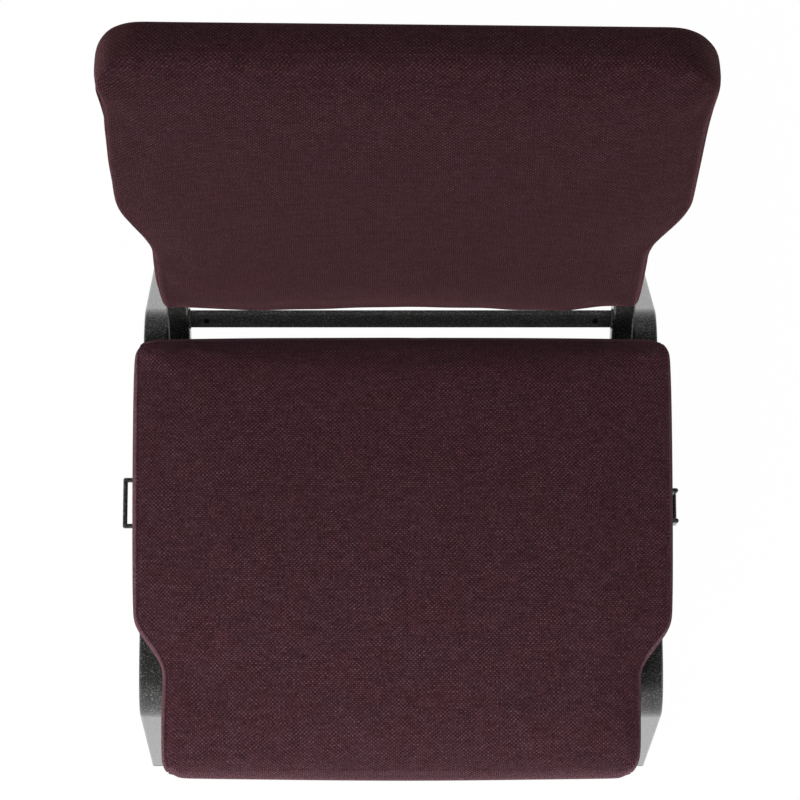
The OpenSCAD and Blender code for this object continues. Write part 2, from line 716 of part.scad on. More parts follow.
// Strip that closes the lower end of the sleeve round the uprights
module back_closing_strip() {
    w = upright_x + upright_tube / 2 - fabric_t;
    front = back_front(0, fabric_t) - fit;
    rear = back_rear(0, fabric_t) + fit;
    color(fabric_colour) at_back(0, fabric_t + strip_t) rotate([90, 0, 0]) linear_extrude(strip_t) difference() {
        translate([-w, rear]) square([2 * w, front - rear]);
        for (x = [-1, 1]) translate([x * upright_x, 0]) square(upright_tube + 2 * fit, center = true);
    }
}

// Screws from inside the uprights into the back board
module back_screws() {
    head_n = upright_tube / 2 - tube_wall;
    color(zinc_colour) both_sides() at_screw() translate([0, 0, head_n]) {
        translate([0, 0, -screw_head_h]) cylinder(r = screw_head_r, h = screw_head_h, $fn = hole_fn);
        translate([0, 0, -fit]) cylinder(r = screw_r, h = tube_wall + back_board_t, $fn = hole_fn);
    }
}

module back_tee_nuts() {
    color(zinc_colour) both_sides() at_screw() translate([0, 0, board_n + back_board_t - fit / 2])
        tee_nut(screw_flange_r, screw_nut_r, back_board_t * 0.8, screw_r + thread_fit);
}

left_leg_frame();
right_leg_frame();
left_back_upright();
right_back_upright();
front_seat_strap();
rear_seat_strap();
lower_back_bar();
upper_back_bar();
front_left_glide();
front_right_glide();
rear_left_glide();
rear_right_glide();
run_end_plugs();
stacking_bumpers();
ganging_loop();
ganging_hook();
seat_board();
seat_foam();
seat_cover();
seat_dust_cover();
seat_bolts();
seat_bolt_washers();
seat_tee_nuts();
back_board();
back_foam();
back_rear_board();
back_rear_pad();
back_cover();
back_closing_strip();
back_screws();
back_tee_nuts();
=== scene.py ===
import bpy
import json
import math
import numpy as np
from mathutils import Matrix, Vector


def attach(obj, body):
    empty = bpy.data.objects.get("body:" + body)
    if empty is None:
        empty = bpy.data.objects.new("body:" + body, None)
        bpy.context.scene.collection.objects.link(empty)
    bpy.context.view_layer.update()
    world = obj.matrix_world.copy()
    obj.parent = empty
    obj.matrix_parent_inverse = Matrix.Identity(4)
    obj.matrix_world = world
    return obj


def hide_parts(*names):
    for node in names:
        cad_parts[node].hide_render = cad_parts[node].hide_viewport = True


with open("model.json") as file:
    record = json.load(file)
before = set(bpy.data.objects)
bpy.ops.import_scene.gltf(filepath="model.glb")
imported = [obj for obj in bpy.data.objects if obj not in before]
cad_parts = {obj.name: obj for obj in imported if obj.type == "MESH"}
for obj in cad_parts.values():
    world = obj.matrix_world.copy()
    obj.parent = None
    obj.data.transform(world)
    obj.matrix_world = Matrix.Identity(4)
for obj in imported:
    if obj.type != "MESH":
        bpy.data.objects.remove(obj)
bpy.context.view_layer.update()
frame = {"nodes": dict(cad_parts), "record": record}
nodes = frame["nodes"]
mm = 0.001

# camera: the photo was taken from high in front, looking down and a little towards the back
shot = {
    "place": (-0.024, -0.4387, 3.2275),
    "tilt": 10.0,       # degrees from straight down
    "lens": 127.42, "sensor": 36.0,
    "shift": 0.02875,
}
camData = bpy.data.cameras.new("shotCamera")
camData.lens = shot["lens"]
camData.sensor_width = shot["sensor"]
camData.shift_x = shot["shift"]
camera = bpy.data.objects.new("shotCamera", camData)
camera.location = shot["place"]
camera.rotation_euler = (math.radians(shot["tilt"]), 0.0, 0.0)
bpy.context.scene.collection.objects.link(camera)
bpy.context.scene.camera = camera
print("camera placed")


# small helpers for the node trees
def newMaterial(name):
    mat = bpy.data.materials.new(name)
    mat.use_nodes = True
    tree = mat.node_tree
    return mat, tree, tree.nodes["Principled BSDF"]


def addNode(tree, kind, **values):
    node = tree.nodes.new(kind)
    for key, value in values.items():
        setattr(node, key, value)
    return node


# sets or links a node's inputs, and hands back its outputs
def feed(tree, node, values):
    for key, value in values.items():
        target = node.inputs[key]
        if isinstance(value, (int, float)):
            target.default_value = value
        elif isinstance(value, tuple):
            target.default_value = (*value, 1.0)
        else:
            tree.links.new(value, target)
    return node.outputs


def mathNode(tree, operation, a, b=0.0):
    return feed(tree, addNode(tree, "ShaderNodeMath", operation=operation), {0: a, 1: b})[0]


def plus(tree, a, b):
    return mathNode(tree, "ADD", a, b)


def minus(tree, a, b):
    return mathNode(tree, "SUBTRACT", a, b)


def times(tree, a, b):
    return mathNode(tree, "MULTIPLY", a, b)


def split(tree, vector):
    return feed(tree, addNode(tree, "ShaderNodeSeparateXYZ"), {0: vector})


def combine(tree, x, y, z=0.0):
    return feed(tree, addNode(tree, "ShaderNodeCombineXYZ"), {0: x, 1: y, 2: z})[0]


def objectPlace(tree):
    return addNode(tree, "ShaderNodeTexCoord").outputs["Object"]


def voronoi(tree, vector, scale):
    return feed(tree, addNode(tree, "ShaderNodeTexVoronoi"), {"Scale": scale, "Vector": vector})


def noiseNode(tree, vector, scale, detail=2.0, rough=0.5):
    values = {"Scale": scale, "Detail": detail, "Roughness": rough, "Vector": vector}
    return feed(tree, addNode(tree, "ShaderNodeTexNoise"), values)["Fac"]


def mapRange(tree, value, fromLow, fromHigh, toLow=0.0, toHigh=1.0):
    ends = {"Value": value, "From Min": fromLow, "From Max": fromHigh, "To Min": toLow, "To Max": toHigh}
    return feed(tree, addNode(tree, "ShaderNodeMapRange"), ends)["Result"]


def mixColour(tree, fac, a, b, blend="MIX"):
    node = addNode(tree, "ShaderNodeMix", data_type="RGBA", blend_type=blend)
    return feed(tree, node, {"Factor": fac, 6: a, 7: b})[2]


def ramp(tree, fac, stops):
    node = addNode(tree, "ShaderNodeValToRGB")
    elements = node.color_ramp.elements
    while len(elements) < len(stops):
        elements.new(0.5)
    for element, (at, colour) in zip(elements, stops):
        element.position = at
        element.color = (*colour, 1.0)
    return feed(tree, node, {"Fac": fac})["Color"]


def bump(tree, height, distance, strength):
    values = {"Height": height, "Distance": distance, "Strength": strength}
    return feed(tree, addNode(tree, "ShaderNodeBump"), values)["Normal"]


# plain-woven plum melange: UVs are in metres, so the yarns keep their real size
# here and below a noise is given as its scale, detail and roughness
weaveCloth = {
    "pitch": (2.02 * mm, 1.94 * mm),
    "warp": ((0.028, 0.0105, 0.0135), (0.041, 0.0158, 0.0203), (0.056, 0.0200, 0.0265)),
    "weft": ((0.042, 0.0170, 0.0220), (0.062, 0.0255, 0.0330), (0.084, 0.0400, 0.0500)),
    "toneStops": (0.30, 0.50, 0.72),
    "along": 80.0, "warpStep": 7.31, "weftStep": 5.17,     # change of shade along a yarn, and to the next
    "weftStart": 3.7, "hueStart": 2.3,
    "wander": 0.0022, "wanderNoise": (40.0, 1.0),
    "softness": 0.45,
    "shadeNoise": (1.0, 3.0, 0.6), "speck": (0.76, 1.24), "noiseEnds": (0.3, 0.7),
    "cloud": 0.05, "cloudNoise": (26.0, 3.0, 0.6), "lint": 0.16, "lintNoise": (1100.0, 1.0),
    "ribs": 0.21, "leanNoise": (48.0, 2.0, 0.6), "leanEnds": (0.40, 0.60),
    # deep: valleys between the yarns painted darker and crowns lighter, as painted shade and painted
    # highlight
    "deep": (0.10, 0.85, 0.60, 1.06),
    "hueNoise": (34.0, 3.0, 0.6),
    "hues": [(0.36, (1.02, 0.97, 0.95)), (0.50, (1.0, 1.0, 1.0)), (0.64, (0.98, 1.03, 1.03))],
    "fuzz": 0.35, "fuzzNoise": (2600.0, 2.0),
    "height": 0.45 * mm, "relief": 0.7,
    "roughness": 0.92, "specular": 0.06, "sheen": 0.26, "sheenRoughness": 0.4,
}


def weaveMaterial(name, spec, paintedShade, sheenTint):
    mat, tree, shader = newMaterial(name)
    uv = addNode(tree, "ShaderNodeUVMap", uv_map="clothUV").outputs["UV"]
    u, v = split(tree, uv)[0:2]
    # yarns wander a little from straight
    drift = times(tree, minus(tree, noiseNode(tree, uv, *spec["wanderNoise"]), 0.5), spec["wander"])
    x = mathNode(tree, "DIVIDE", plus(tree, u, drift), spec["pitch"][0])
    y = mathNode(tree, "DIVIDE", minus(tree, v, drift), spec["pitch"][1])
    ix, iy = mathNode(tree, "FLOOR", x), mathNode(tree, "FLOOR", y)
    parity = mathNode(tree, "PINGPONG", plus(tree, ix, iy), 1.0)
    domeX, domeY = [mathNode(tree, "SINE", times(tree, mathNode(tree, "FRACT", w), math.pi)) for w in (x, y)]
    softX, softY = [mathNode(tree, "POWER", dome, spec["softness"]) for dome in (domeX, domeY)]
    pick = addNode(tree, "ShaderNodeMix", data_type="FLOAT")
    domes = {2: times(tree, domeX, softY), 3: times(tree, softX, domeY)}
    height = feed(tree, pick, {"Factor": parity, **domes})[0]
    # each yarn has its own shade, which changes along it
    along = spec["along"]
    warpAt = combine(tree, times(tree, ix, spec["warpStep"]), times(tree, v, along))
    weftAt = combine(tree, times(tree, u, along), times(tree, iy, spec["weftStep"]), spec["weftStart"])
    tones = []
    for at, colours in ((warpAt, spec["warp"]), (weftAt, spec["weft"])):
        shade = noiseNode(tree, at, *spec["shadeNoise"])
        tones.append(ramp(tree, shade, list(zip(spec["toneStops"], colours))))
    yarn = mixColour(tree, parity, *tones)
    # single flecks, lint, and soft cloudy patches over the whole cloth
    speck = addNode(tree, "ShaderNodeTexWhiteNoise", noise_dimensions="3D")
    speck = feed(tree, speck, {"Vector": combine(tree, ix, iy)})["Value"]
    cloud = noiseNode(tree, uv, *spec["cloudNoise"])
    lint = noiseNode(tree, uv, *spec["lintNoise"])
    level = plus(tree, mapRange(tree, speck, 0.0, 1.0, *spec["speck"]),
                 mapRange(tree, cloud, *spec["noiseEnds"], spec["cloud"], -spec["cloud"]))
    level = plus(tree, level, mapRange(tree, lint, *spec["noiseEnds"], -spec["lint"], spec["lint"]))
    # the weave leans to one diagonal here and to the other there
    lean = mapRange(tree, noiseNode(tree, uv, *spec["leanNoise"]), *spec["leanEnds"])
    rising = mathNode(tree, "COSINE", times(tree, plus(tree, x, y), math.pi))
    falling = mathNode(tree, "COSINE", times(tree, minus(tree, x, y), math.pi))
    ribs = minus(tree, times(tree, rising, lean), times(tree, falling, minus(tree, 1.0, lean)))
    level = plus(tree, level, times(tree, ribs, spec["ribs"]))
    # the valleys between the yarns are painted darker and the yarn crowns a little lighter: painted shade and
    # painted highlight
    level = times(tree, level, mapRange(tree, height, *spec["deep"]))
    # the yarn colour is scaled by a per-cushion factor: painted shade, darker on the back cushion than on the
    # seat
    lit = addNode(tree, "ShaderNodeVectorMath", operation="SCALE")
    lit = feed(tree, lit, {0: yarn, "Scale": times(tree, level, paintedShade)})[0]
    # warm and cool patches of the melange
    hueAt = combine(tree, u, v, spec["hueStart"])
    hue = ramp(tree, noiseNode(tree, hueAt, *spec["hueNoise"]), spec["hues"])
    fuzz = times(tree, noiseNode(tree, uv, *spec["fuzzNoise"]), spec["fuzz"])
    feed(tree, shader, {
        "Base Color": mixColour(tree, 1.0, lit, hue, "MULTIPLY"),
        "Normal": bump(tree, plus(tree, height, fuzz), spec["height"], spec["relief"]),
        "Roughness": spec["roughness"], "Specular IOR Level": spec["specular"],
        "Sheen Weight": spec["sheen"], "Sheen Roughness": spec["sheenRoughness"], "Sheen Tint": sheenTint,
    })
    return mat


# black hammertone paint with silver veins
hammertone = {
    "ground": (0.011, 0.011, 0.0105), "vein": (0.24, 0.24, 0.235), "holeShade": (0.002, 0.002, 0.002),
    "coarseNoise": (620.0, 3.0, 0.65), "fineNoise": (620.0 * 2.7, 2.0, 0.6), "patchNoise": (70.0,),
    "fineShare": 0.6, "patchShare": 0.10, "fleck": (0.555, 0.655),
    "metal": 0.75, "roughness": (0.3, 0.7, 0.28, 0.44), "coat": 0.55, "coatRoughness": 0.12,
    "height": 0.5 * mm, "relief": 0.35, "holeEdge": 0.3 * mm,
}


def hammertoneMaterial(name, spec, shadedHoles=None):
    mat, tree, shader = newMaterial(name)
    place = objectPlace(tree)
    coarse = noiseNode(tree, place, *spec["coarseNoise"])
    fine = noiseNode(tree, place, *spec["fineNoise"])
    patch = noiseNode(tree, place, *spec["patchNoise"])
    level = plus(tree, coarse, times(tree, minus(tree, fine, 0.5), spec["fineShare"]))
    level = plus(tree, level, times(tree, minus(tree, patch, 0.5), spec["patchShare"]))
    fleck = mapRange(tree, level, *spec["fleck"])
    paint = mixColour(tree, fleck, spec["ground"], spec["vein"])
    metal = mapRange(tree, fleck, 0.0, 1.0, 0.0, spec["metal"])
    if shadedHoles is not None:
        # the holes' walls are painted near-black and made fully metallic: painted shade, as no light reaches
        # into them
        across, along, up = split(tree, place)
        off = minus(tree, mathNode(tree, "ABSOLUTE", across), shadedHoles["x"])
        offUp = plus(tree, times(tree, minus(tree, along, shadedHoles["y"]), math.sin(shadedHoles["lean"])),
                     times(tree, minus(tree, up, shadedHoles["z"]), math.cos(shadedHoles["lean"])))
        away = mathNode(tree, "SQRT", plus(tree, times(tree, off, off), times(tree, offUp, offUp)))
        shown = mapRange(tree, away, shadedHoles["r"], shadedHoles["r"] + spec["holeEdge"])
        paint = mixColour(tree, shown, spec["holeShade"], paint)
        metal = plus(tree, times(tree, metal, shown), minus(tree, 1.0, shown))
    feed(tree, shader, {
        "Base Color": paint, "Metallic": metal, "Roughness": mapRange(tree, fine, *spec["roughness"]),
        "Normal": bump(tree, coarse, spec["height"], spec["relief"]),
        "Coat Weight": spec["coat"] if shadedHoles is None else 0.0, "Coat Roughness": spec["coatRoughness"],
    })
    return mat


plastic = {
    "base": (0.013, 0.013, 0.013), "worn": (0.060, 0.058, 0.055),
    "grainNoise": (1500.0,), "scuffNoise": (120.0, 4.0, 0.7), "wear": (0.55, 0.75, 0.0, 0.35),
    "roughness": (0.3, 0.7, 0.46, 0.64), "height": 0.2 * mm, "relief": 0.25,
}


def plasticMaterial(name, spec):
    mat, tree, shader = newMaterial(name)
    place = objectPlace(tree)
    grain = noiseNode(tree, place, *spec["grainNoise"])
    scuff = noiseNode(tree, place, *spec["scuffNoise"])
    feed(tree, shader, {
        "Base Color": mixColour(tree, mapRange(tree, scuff, *spec["wear"]), spec["base"], spec["worn"]),
        "Roughness": mapRange(tree, scuff, *spec["roughness"]),
        "Normal": bump(tree, grain, spec["height"], spec["relief"]),
    })
    return mat


zincPlate = {
    "dark": (0.42, 0.42, 0.39), "light": (0.66, 0.66, 0.62),
    "flakeScale": 420.0, "flakeShare": 0.10, "smearNoise": (260.0, 4.0, 0.6),
    "roughness": (0.3, 0.7, 0.28, 0.46), "height": 0.2 * mm, "relief": 0.2,
}


def zincMaterial(name, spec):
    mat, tree, shader = newMaterial(name)
    place = objectPlace(tree)
    flake = voronoi(tree, place, spec["flakeScale"])["Color"]
    smear = noiseNode(tree, place, *spec["smearNoise"])
    tone = mixColour(tree, smear, spec["dark"], spec["light"])
    feed(tree, shader, {
        "Base Color": mixColour(tree, spec["flakeShare"], tone, flake), "Metallic": 1.0,
        "Roughness": mapRange(tree, smear, *spec["roughness"]),
        "Normal": bump(tree, smear, spec["height"], spec["relief"]),
    })
    return mat


wood = {
    "grainNoise": (60.0, 6.0, 0.6), "poreNoise": (420.0, 3.0, 0.7), "grainStops": (0.35, 0.65),
    "plyShade": 0.25,
    "roughness": 0.62, "height": 0.2 * mm, "relief": 0.3,
}


def woodMaterial(name, light, dark, stretch, plies):
    mat, tree, shader = newMaterial(name)
    place = objectPlace(tree)
    mapping = addNode(tree, "ShaderNodeMapping")
    mapping.inputs["Scale"].default_value = stretch
    stretched = feed(tree, mapping, {"Vector": place})["Vector"]
    grain = noiseNode(tree, stretched, *wood["grainNoise"])
    pore = noiseNode(tree, stretched, *wood["poreNoise"])
    tone = ramp(tree, grain, list(zip(wood["grainStops"], (dark, light))))
    layer = mathNode(tree, "SINE", times(tree, split(tree, place)[2], plies))
    feed(tree, shader, {
        "Base Color": mixColour(tree, mapRange(tree, layer, -1.0, 1.0, 0.0, wood["plyShade"]), tone, dark),
        "Roughness": wood["roughness"], "Normal": bump(tree, pore, wood["height"], wood["relief"]),
    })
    return mat


softSheet = {
    "fibre": (5.0, 0.7), "fibreEnds": (0.35, 0.65), "dimpleShare": 0.45,
    "height": 0.4 * mm, "relief": 0.4,
}


def softSheetMaterial(name, base, speckle, scale, rough):
    mat, tree, shader = newMaterial(name)
    place = objectPlace(tree)
    fibre = mapRange(tree, noiseNode(tree, place, scale, *softSheet["fibre"]), *softSheet["fibreEnds"])
    dimple = voronoi(tree, place, scale * softSheet["dimpleShare"])["Distance"]
    feed(tree, shader, {
        "Base Color": mixColour(tree, fibre, base, speckle), "Roughness": rough,
        "Normal": bump(tree, dimple, softSheet["height"], softSheet["relief"]),
    })
    return mat


# the seat's and back's cloth are one weave with the base colour scaled down for each as painted shade, most
# on the back, which faces away from the light
cloth = weaveMaterial("plumWeaveSeat", weaveCloth, paintedShade=0.935, sheenTint=(0.85, 0.42, 0.52))
backCloth = weaveMaterial("plumWeaveBack", weaveCloth, paintedShade=0.63, sheenTint=(0.83, 0.38, 0.41))
framePaint = hammertoneMaterial("silverVeinPaint", hammertone)
# the lower bar's holes: half their distance apart, and a point of the bar's front face on their line
barHoles = {
    "x": 195.975 * mm, "y": 135.405 * mm, "z": 429.194 * mm,
    "lean": math.radians(30.0), "r": 3.3 * mm,
}
barPaint = hammertoneMaterial("silverVeinPaintBar", hammertone, barHoles)
blackPlastic = plasticMaterial("blackPlastic", plastic)
zinc = zincMaterial("zincPlate", zincPlate)
plywood = woodMaterial("birchPlywood", light=(0.52, 0.35, 0.19), dark=(0.36, 0.22, 0.11),
                       stretch=(1.0, 9.0, 9.0), plies=4200.0)
hardboard = woodMaterial("hardboard", light=(0.17, 0.085, 0.042), dark=(0.11, 0.052, 0.026),
                         stretch=(3.0, 3.0, 3.0), plies=900.0)
foamSkin = softSheetMaterial("creamFoam", base=(0.74, 0.67, 0.44), speckle=(0.82, 0.76, 0.54),
                             scale=900.0, rough=0.95)
dustFelt = softSheetMaterial("blackNonWoven", base=(0.010, 0.010, 0.010), speckle=(0.030, 0.030, 0.031),
                             scale=1400.0, rough=0.97)
print("materials made")

slotLooks = {
    "frame_paint": framePaint,
    "black_plastic": blackPlastic,
    "zinc_plate": zinc,
    "plywood": plywood,
    "hardboard": hardboard,
    "foam": foamSkin,
    "fabric": cloth,
    "dust_cloth": dustFelt,
}
for part in frame["record"]["subparts"]:
    node = nodes[part["node"]]
    look = barPaint if part["node"] == "lower_back_bar" else slotLooks[part["material_slot"]]
    if node.material_slots:
        for place in node.material_slots:
            place.material = look
    else:
        node.data.materials.append(look)
print("frame nodes painted")


# hand tools for the modelled pieces
def selectOnly(*objs):
    bpy.ops.object.select_all(action="DESELECT")
    for obj in objs:
        obj.select_set(True)
    bpy.context.view_layer.objects.active = objs[0]


def selectParts(obj, kind, parts, wanted):
    bpy.ops.object.mode_set(mode="EDIT")
    bpy.ops.mesh.select_mode(type=kind)
    bpy.ops.mesh.select_all(action="DESELECT")
    bpy.ops.object.mode_set(mode="OBJECT")
    for part in parts:
        part.select = bool(wanted(part))
    bpy.ops.object.mode_set(mode="EDIT")


def selectFaces(obj, wanted):
    selectParts(obj, "FACE", obj.data.polygons, lambda face: wanted(face.center, face.normal))


def selectPoints(obj, wanted):
    selectParts(obj, "VERT", obj.data.vertices, lambda point: wanted(point.co))


def settle(obj):
    selectOnly(obj)
    bpy.ops.object.transform_apply(location=True, rotation=True, scale=True)


def withModifier(obj, kind, **values):
    selectOnly(obj)
    modifier = obj.modifiers.new(kind.lower(), kind)
    for key, value in values.items():
        setattr(modifier, key, value)
    bpy.ops.object.modifier_apply(modifier=modifier.name)


def copyTo(obj, place, turn=0.0):
    selectOnly(obj)
    bpy.ops.object.duplicate(linked=False)
    copy = bpy.context.active_object
    copy.location = [v * mm for v in place]
    copy.rotation_euler = (0.0, 0.0, turn)
    return copy


def sway(i, far, beat):
    return far * math.sin(i * beat)


def joined(name, pieces, material):
    selectOnly(*pieces)
    bpy.ops.object.join()
    obj = bpy.context.active_object
    obj.name = name
    settle(obj)
    obj.data.materials.clear()
    obj.data.materials.append(material)
    return obj


def gridSheet(name, f, wide, deep, middle):
    bpy.ops.object.select_all(action="DESELECT")
    bpy.ops.mesh.primitive_grid_add(x_subdivisions=f["columns"], y_subdivisions=f["rows"], size=1.0,
                                    location=middle)
    obj = bpy.context.active_object
    obj.name = name
    bpy.ops.transform.resize(value=(wide, deep, 1.0))
    settle(obj)
    return obj


# ripples a flat sheet and gives it its thickness
def thicken(obj, f):
    texture = bpy.data.textures.new(obj.name + "Ripple", "CLOUDS")
    texture.noise_scale = f["rippleSize"]
    withModifier(obj, "DISPLACE", texture=texture, strength=f["ripple"],
                 texture_coords="LOCAL", direction="Z")
    withModifier(obj, "SOLIDIFY", thickness=f["thick"] * mm, offset=0.0)
    selectOnly(obj)
    bpy.ops.object.shade_smooth_by_angle(angle=math.radians(f["smoothTo"]))


# the seat's outline: right half from the front middle to the rear middle, drawn in by d
seat = {
    "front": -324.5, "rear": 116.5,               # y of the edges
    "side": 268.5, "mid": 266.0, "nose": 235.0,   # half widths: sides, rear and front end of the notch
    "notchFront": -229.0, "notchRear": -166.0,
    "cornerFront": 19.0, "cornerRear": 23.0, "leastFront": 6.5, "leastRear": 5.5,
    "bowFront": 1.5, "bowRear": 3.0,
    "seamZ": 477.9,                          # top seams of the boxing
    "crown": 13.0,
    "waterfall": 45.0, "rearRoll": 26.0,
    "columns": 72, "rows": 66,
    "cap": 4.0, "pressure": 4.0,
    "offset": 1.2, "notchShift": (4.2, 2.8),    # the photo's cover sits to the right of the frame, and askew
    "wallLow": 417.9, "seamSink": 1.5,
    "pucker": ((9.5, 0.0, 0.5), (23.0, 1.0, 0.5)), "puckerHigh": 0.35, "puckerRings": 2.2,
    "cornerSink": 0.9, "firstSink": 1.3,           # the first corner is the front left one
    "pleats": ((0, 1, 2.0), (1, -1, 1.5), (3, 1, 2.0), (3, -1, 1.0), (2, 1, 1.1)),  # corner, way round, depth
    "pleatSteps": ((2, 0.3), (3, 1.0), (4, 0.2)), "pleatRing": 4, "pleatFade": 7.0,
    "bodyEnds": (-235.0, 50.0), "noseEnds": (-235.0, -30.0), "noseBack": 0.6, "looseRings": 4.0,
    "notch": (-200.0, 30.0), "notchX": 200.0,
    "roundings": ((5.5, (203.0, 32.0), (-297.0, -26.0), 1.5), (3.5, (238.0, 30.0), (98.0, 18.0), 1.0)),
    "edgeLift": 0.3, "lift": 0.7, "liftPower": 2.8,
    "satIn": 1.6, "satMiddle": -70.0, "satHalf": (150.0, 110.0),
    "wallCap": 1.6, "cornerHeld": 0.9, "wallUV": 1700.0,
}


def blend(t):
    return 0.5 - 0.5 * np.cos(np.pi * t)


# an outline has seven parts: share along the part, its angle in a corner, and which part a point is in
def outlineParts(tau):
    part = np.clip(np.floor(tau), 0, 6)
    k = tau - part
    return k, k * np.pi / 2, [part == i for i in range(7)]


def seatPoint(tau, d):
    f = seat
    wf, wm, ws = f["nose"] - d, f["mid"] - d, f["side"] - d
    yf, yr = f["front"] + d, f["rear"] - d
    rf = np.maximum(f["cornerFront"] - d, f["leastFront"])
    rr = np.maximum(f["cornerRear"] - d, f["leastRear"])
    bf, br = f["bowFront"] * ((wf - rf) / wf) ** 2, f["bowRear"] * ((ws - rr) / ws) ** 2
    k, a, pick = outlineParts(tau)
    ySide = yr - rr
    xs = [k * (wf - rf), wf - rf + rf * np.sin(a), wf + 0 * k, wf + (wm - wf) * blend(k),
          wm + (ws - wm) * np.sin(a), ws - rr + rr * np.cos(a), (1 - k) * (ws - rr)]
    ys = [yf + k * k * bf, yf + rf - (rf - bf) * np.cos(a), yf + rf + k * (f["notchFront"] - yf - rf),
          f["notchFront"] + (f["notchRear"] - f["notchFront"]) * k,
          f["notchRear"] + (ySide - f["notchRear"]) * k,
          ySide + (rr - br) * np.sin(a), yr - (1 - k) ** 2 * br]
    return np.select(pick, xs), np.select(pick, ys)


# the back's outline in its own plane: x across, s up along the curve
back = {
    "length": 399.0,
    "low": 240.5, "shoulder": 273.2, "top": 280.5,   # half widths
    "shoulderFrom": 95.0, "shoulderTo": 193.0,
    "cornerLow": 11.0, "cornerTop": 48.5, "leastLow": 1.5, "leastTop": 12.0,
    "leanLow": 17.0, "leanTop": 25.0,
    "frontDepth": 28.0, "rearDepth": 20.5,
    "crown": 6.5,
    "rollLow": 9.0, "rollTop": 18.0,
    "columns": 64, "rows": 50,
    "askew": 0.0155, "drop": 0.0155, "rise": 4.2, "sag": 2.6,
    "cap": 3.0, "pressure": 3.0,
    "bend": (93.5, 393.8875 + 59.5), "bendRadius": 59.5, "neck": 36.0,
    "pucker": ((11.0, 0.0, 0.5), (29.0, 2.0, 0.5)), "puckerHigh": 0.25, "puckerRings": 1.6, "seamSink": 1.1,
    "pull": ((17.0, 0.6, 0.5), (41.0, 2.0, 0.9), (9.5, 0.0, 0.25)), "pullHigh": 0.8,
    "thinFront": 0.6, "thinRear": 0.35, "rearLift": -0.15, "liftPowers": (2.6, 3.5),
    "askewFrom": 162.0,
    "leftEnds": (-200.0, -30.0), "rightEnds": (200.0, 30.0),
    "leftBells": ((3.4, 330.0, 24.0), (1.5, 250.0, 26.0)), "rightBell": (1.3, 205.0, 70.0),
    "rightTop": (3.2, 362.0, 22.0), "leftCorner": (4.0, 45.0),
    "hangs": ((5.4, -123.0, 70.0), (6.4, 137.0, 42.0)), "drawnUp": (3.2, 182.0, 18.0),
    "hangTo": 50.0, "hangPower": 1.5, "hangSharp": 4,
    "edgeCap": 1.0, "rearCap": 1.2, "reachX": 240.0, "reachS": 160.0, "capReach": 36.0,
    "rearUV": 3000.0, "wallUV": 5000.0,
}


def backPoint(tau, d):
    f = back
    wl, wsh, wt = f["low"] - d, f["shoulder"] - d, f["top"] - d
    rl = np.maximum(f["cornerLow"] - d, f["leastLow"])
    rt = np.maximum(f["cornerTop"] - d, f["leastTop"])
    top = f["length"] - d
    k, a, pick = outlineParts(tau)
    xs = [k * (wl - rl), wl - rl + rl * np.sin(a), wl + 0 * k, wl + (wsh - wl) * blend(k),
          wsh + (wt - wsh) * k ** 4, wt - rt + rt * np.cos(a), (1 - k) * (wt - rt)]
    ys = [d + 0 * k, d + rl - rl * np.cos(a), d + rl + k * (f["shoulderFrom"] - d - rl),
          f["shoulderFrom"] + (f["shoulderTo"] - f["shoulderFrom"]) * k,
          f["shoulderTo"] + (top - rt - f["shoulderTo"]) * k, top - rt + rt * np.sin(a), top + 0 * k]
    return np.select(pick, xs), np.select(pick, ys)


# how far the lower edge hangs: lower over two stretches, drawn up at the right end
def backSlack(x):
    far, start, over = back["drawnUp"]
    hangs = sum(low * bell(x, at, width, back["hangSharp"]) for low, at, width in back["hangs"])
    return back["sag"] + hangs - far * slope(x, start, over)


leanLow, leanTop = math.radians(back["leanLow"]), math.radians(back["leanTop"])
arcRadius = back["length"] / (leanTop - leanLow)
neckStart = np.array(back["bend"]) + back["bendRadius"] * np.array([math.cos(leanLow), -math.sin(leanLow)])
arcStart = neckStart + back["neck"] * np.array([math.sin(leanLow), math.cos(leanLow)])
arcCentre = arcStart + arcRadius * np.array([math.cos(leanLow), -math.sin(leanLow)])


def ontoBack(x, s, n):
    lean = leanLow + s / arcRadius
    y = arcCentre[0] - (arcRadius + n) * np.cos(lean)
    z = arcCentre[1] + (arcRadius + n) * np.sin(lean)
    return np.stack([x + 0 * y, y, z], axis=-1)


# places of the points round an outline: columns along the front and rear edge, rows along the sides
nearSteps = np.array([0.0, 1.2, 2.6, 5.2])      # the points stand closer beside a corner
tiny, least = 1e-12, 1e-9                       # they keep divisions from zero


def spread(total, count):
    near = nearSteps
    inner = np.linspace(near[-1], total - near[-1], count + 3 - 2 * len(near))[1:-1]
    return np.concatenate([near, inner, total - near[::-1]])


def runLength(*ways):
    return np.concatenate([[0.0], np.cumsum(np.hypot(*[np.diff(w) for w in ways]))])


# an outline is seven segments long in tau, and its corners lie in two of them
tauSteps = np.linspace(0.0, 7.0, 7001)
tauCorners = [1.5, 5.5]
tauEnd = 6.999999


def outlineTaus(point, columns, rows):
    tau = tauSteps
    arc = runLength(*point(np.minimum(tau, tauEnd), np.zeros_like(tau)))
    cornerA, cornerB, total = np.interp(tauCorners, tau, arc).tolist() + [arc[-1]]
    frontArc = spread(2 * cornerA, columns) - cornerA
    sideArc = spread(cornerB - cornerA, rows) + cornerA
    rearArc = spread(2 * (total - cornerB), columns) - (total - cornerB)
    ring = []       # (tau, side of the middle)
    for v in frontArc[:-1]:
        ring.append((np.interp(abs(v), arc, tau), 1.0 if v >= 0 else -1.0))
    for v in sideArc[:-1]:
        ring.append((np.interp(v, arc, tau), 1.0))
    for v in rearArc[:-1]:
        ring.append((np.interp(total - abs(v), arc, tau), 1.0 if v <= 0 else -1.0))
    for v in sideArc[::-1][:-1]:
        ring.append((np.interp(v, arc, tau), -1.0))
    taus, signs = np.array(ring).T
    return np.minimum(taus, tauEnd), signs


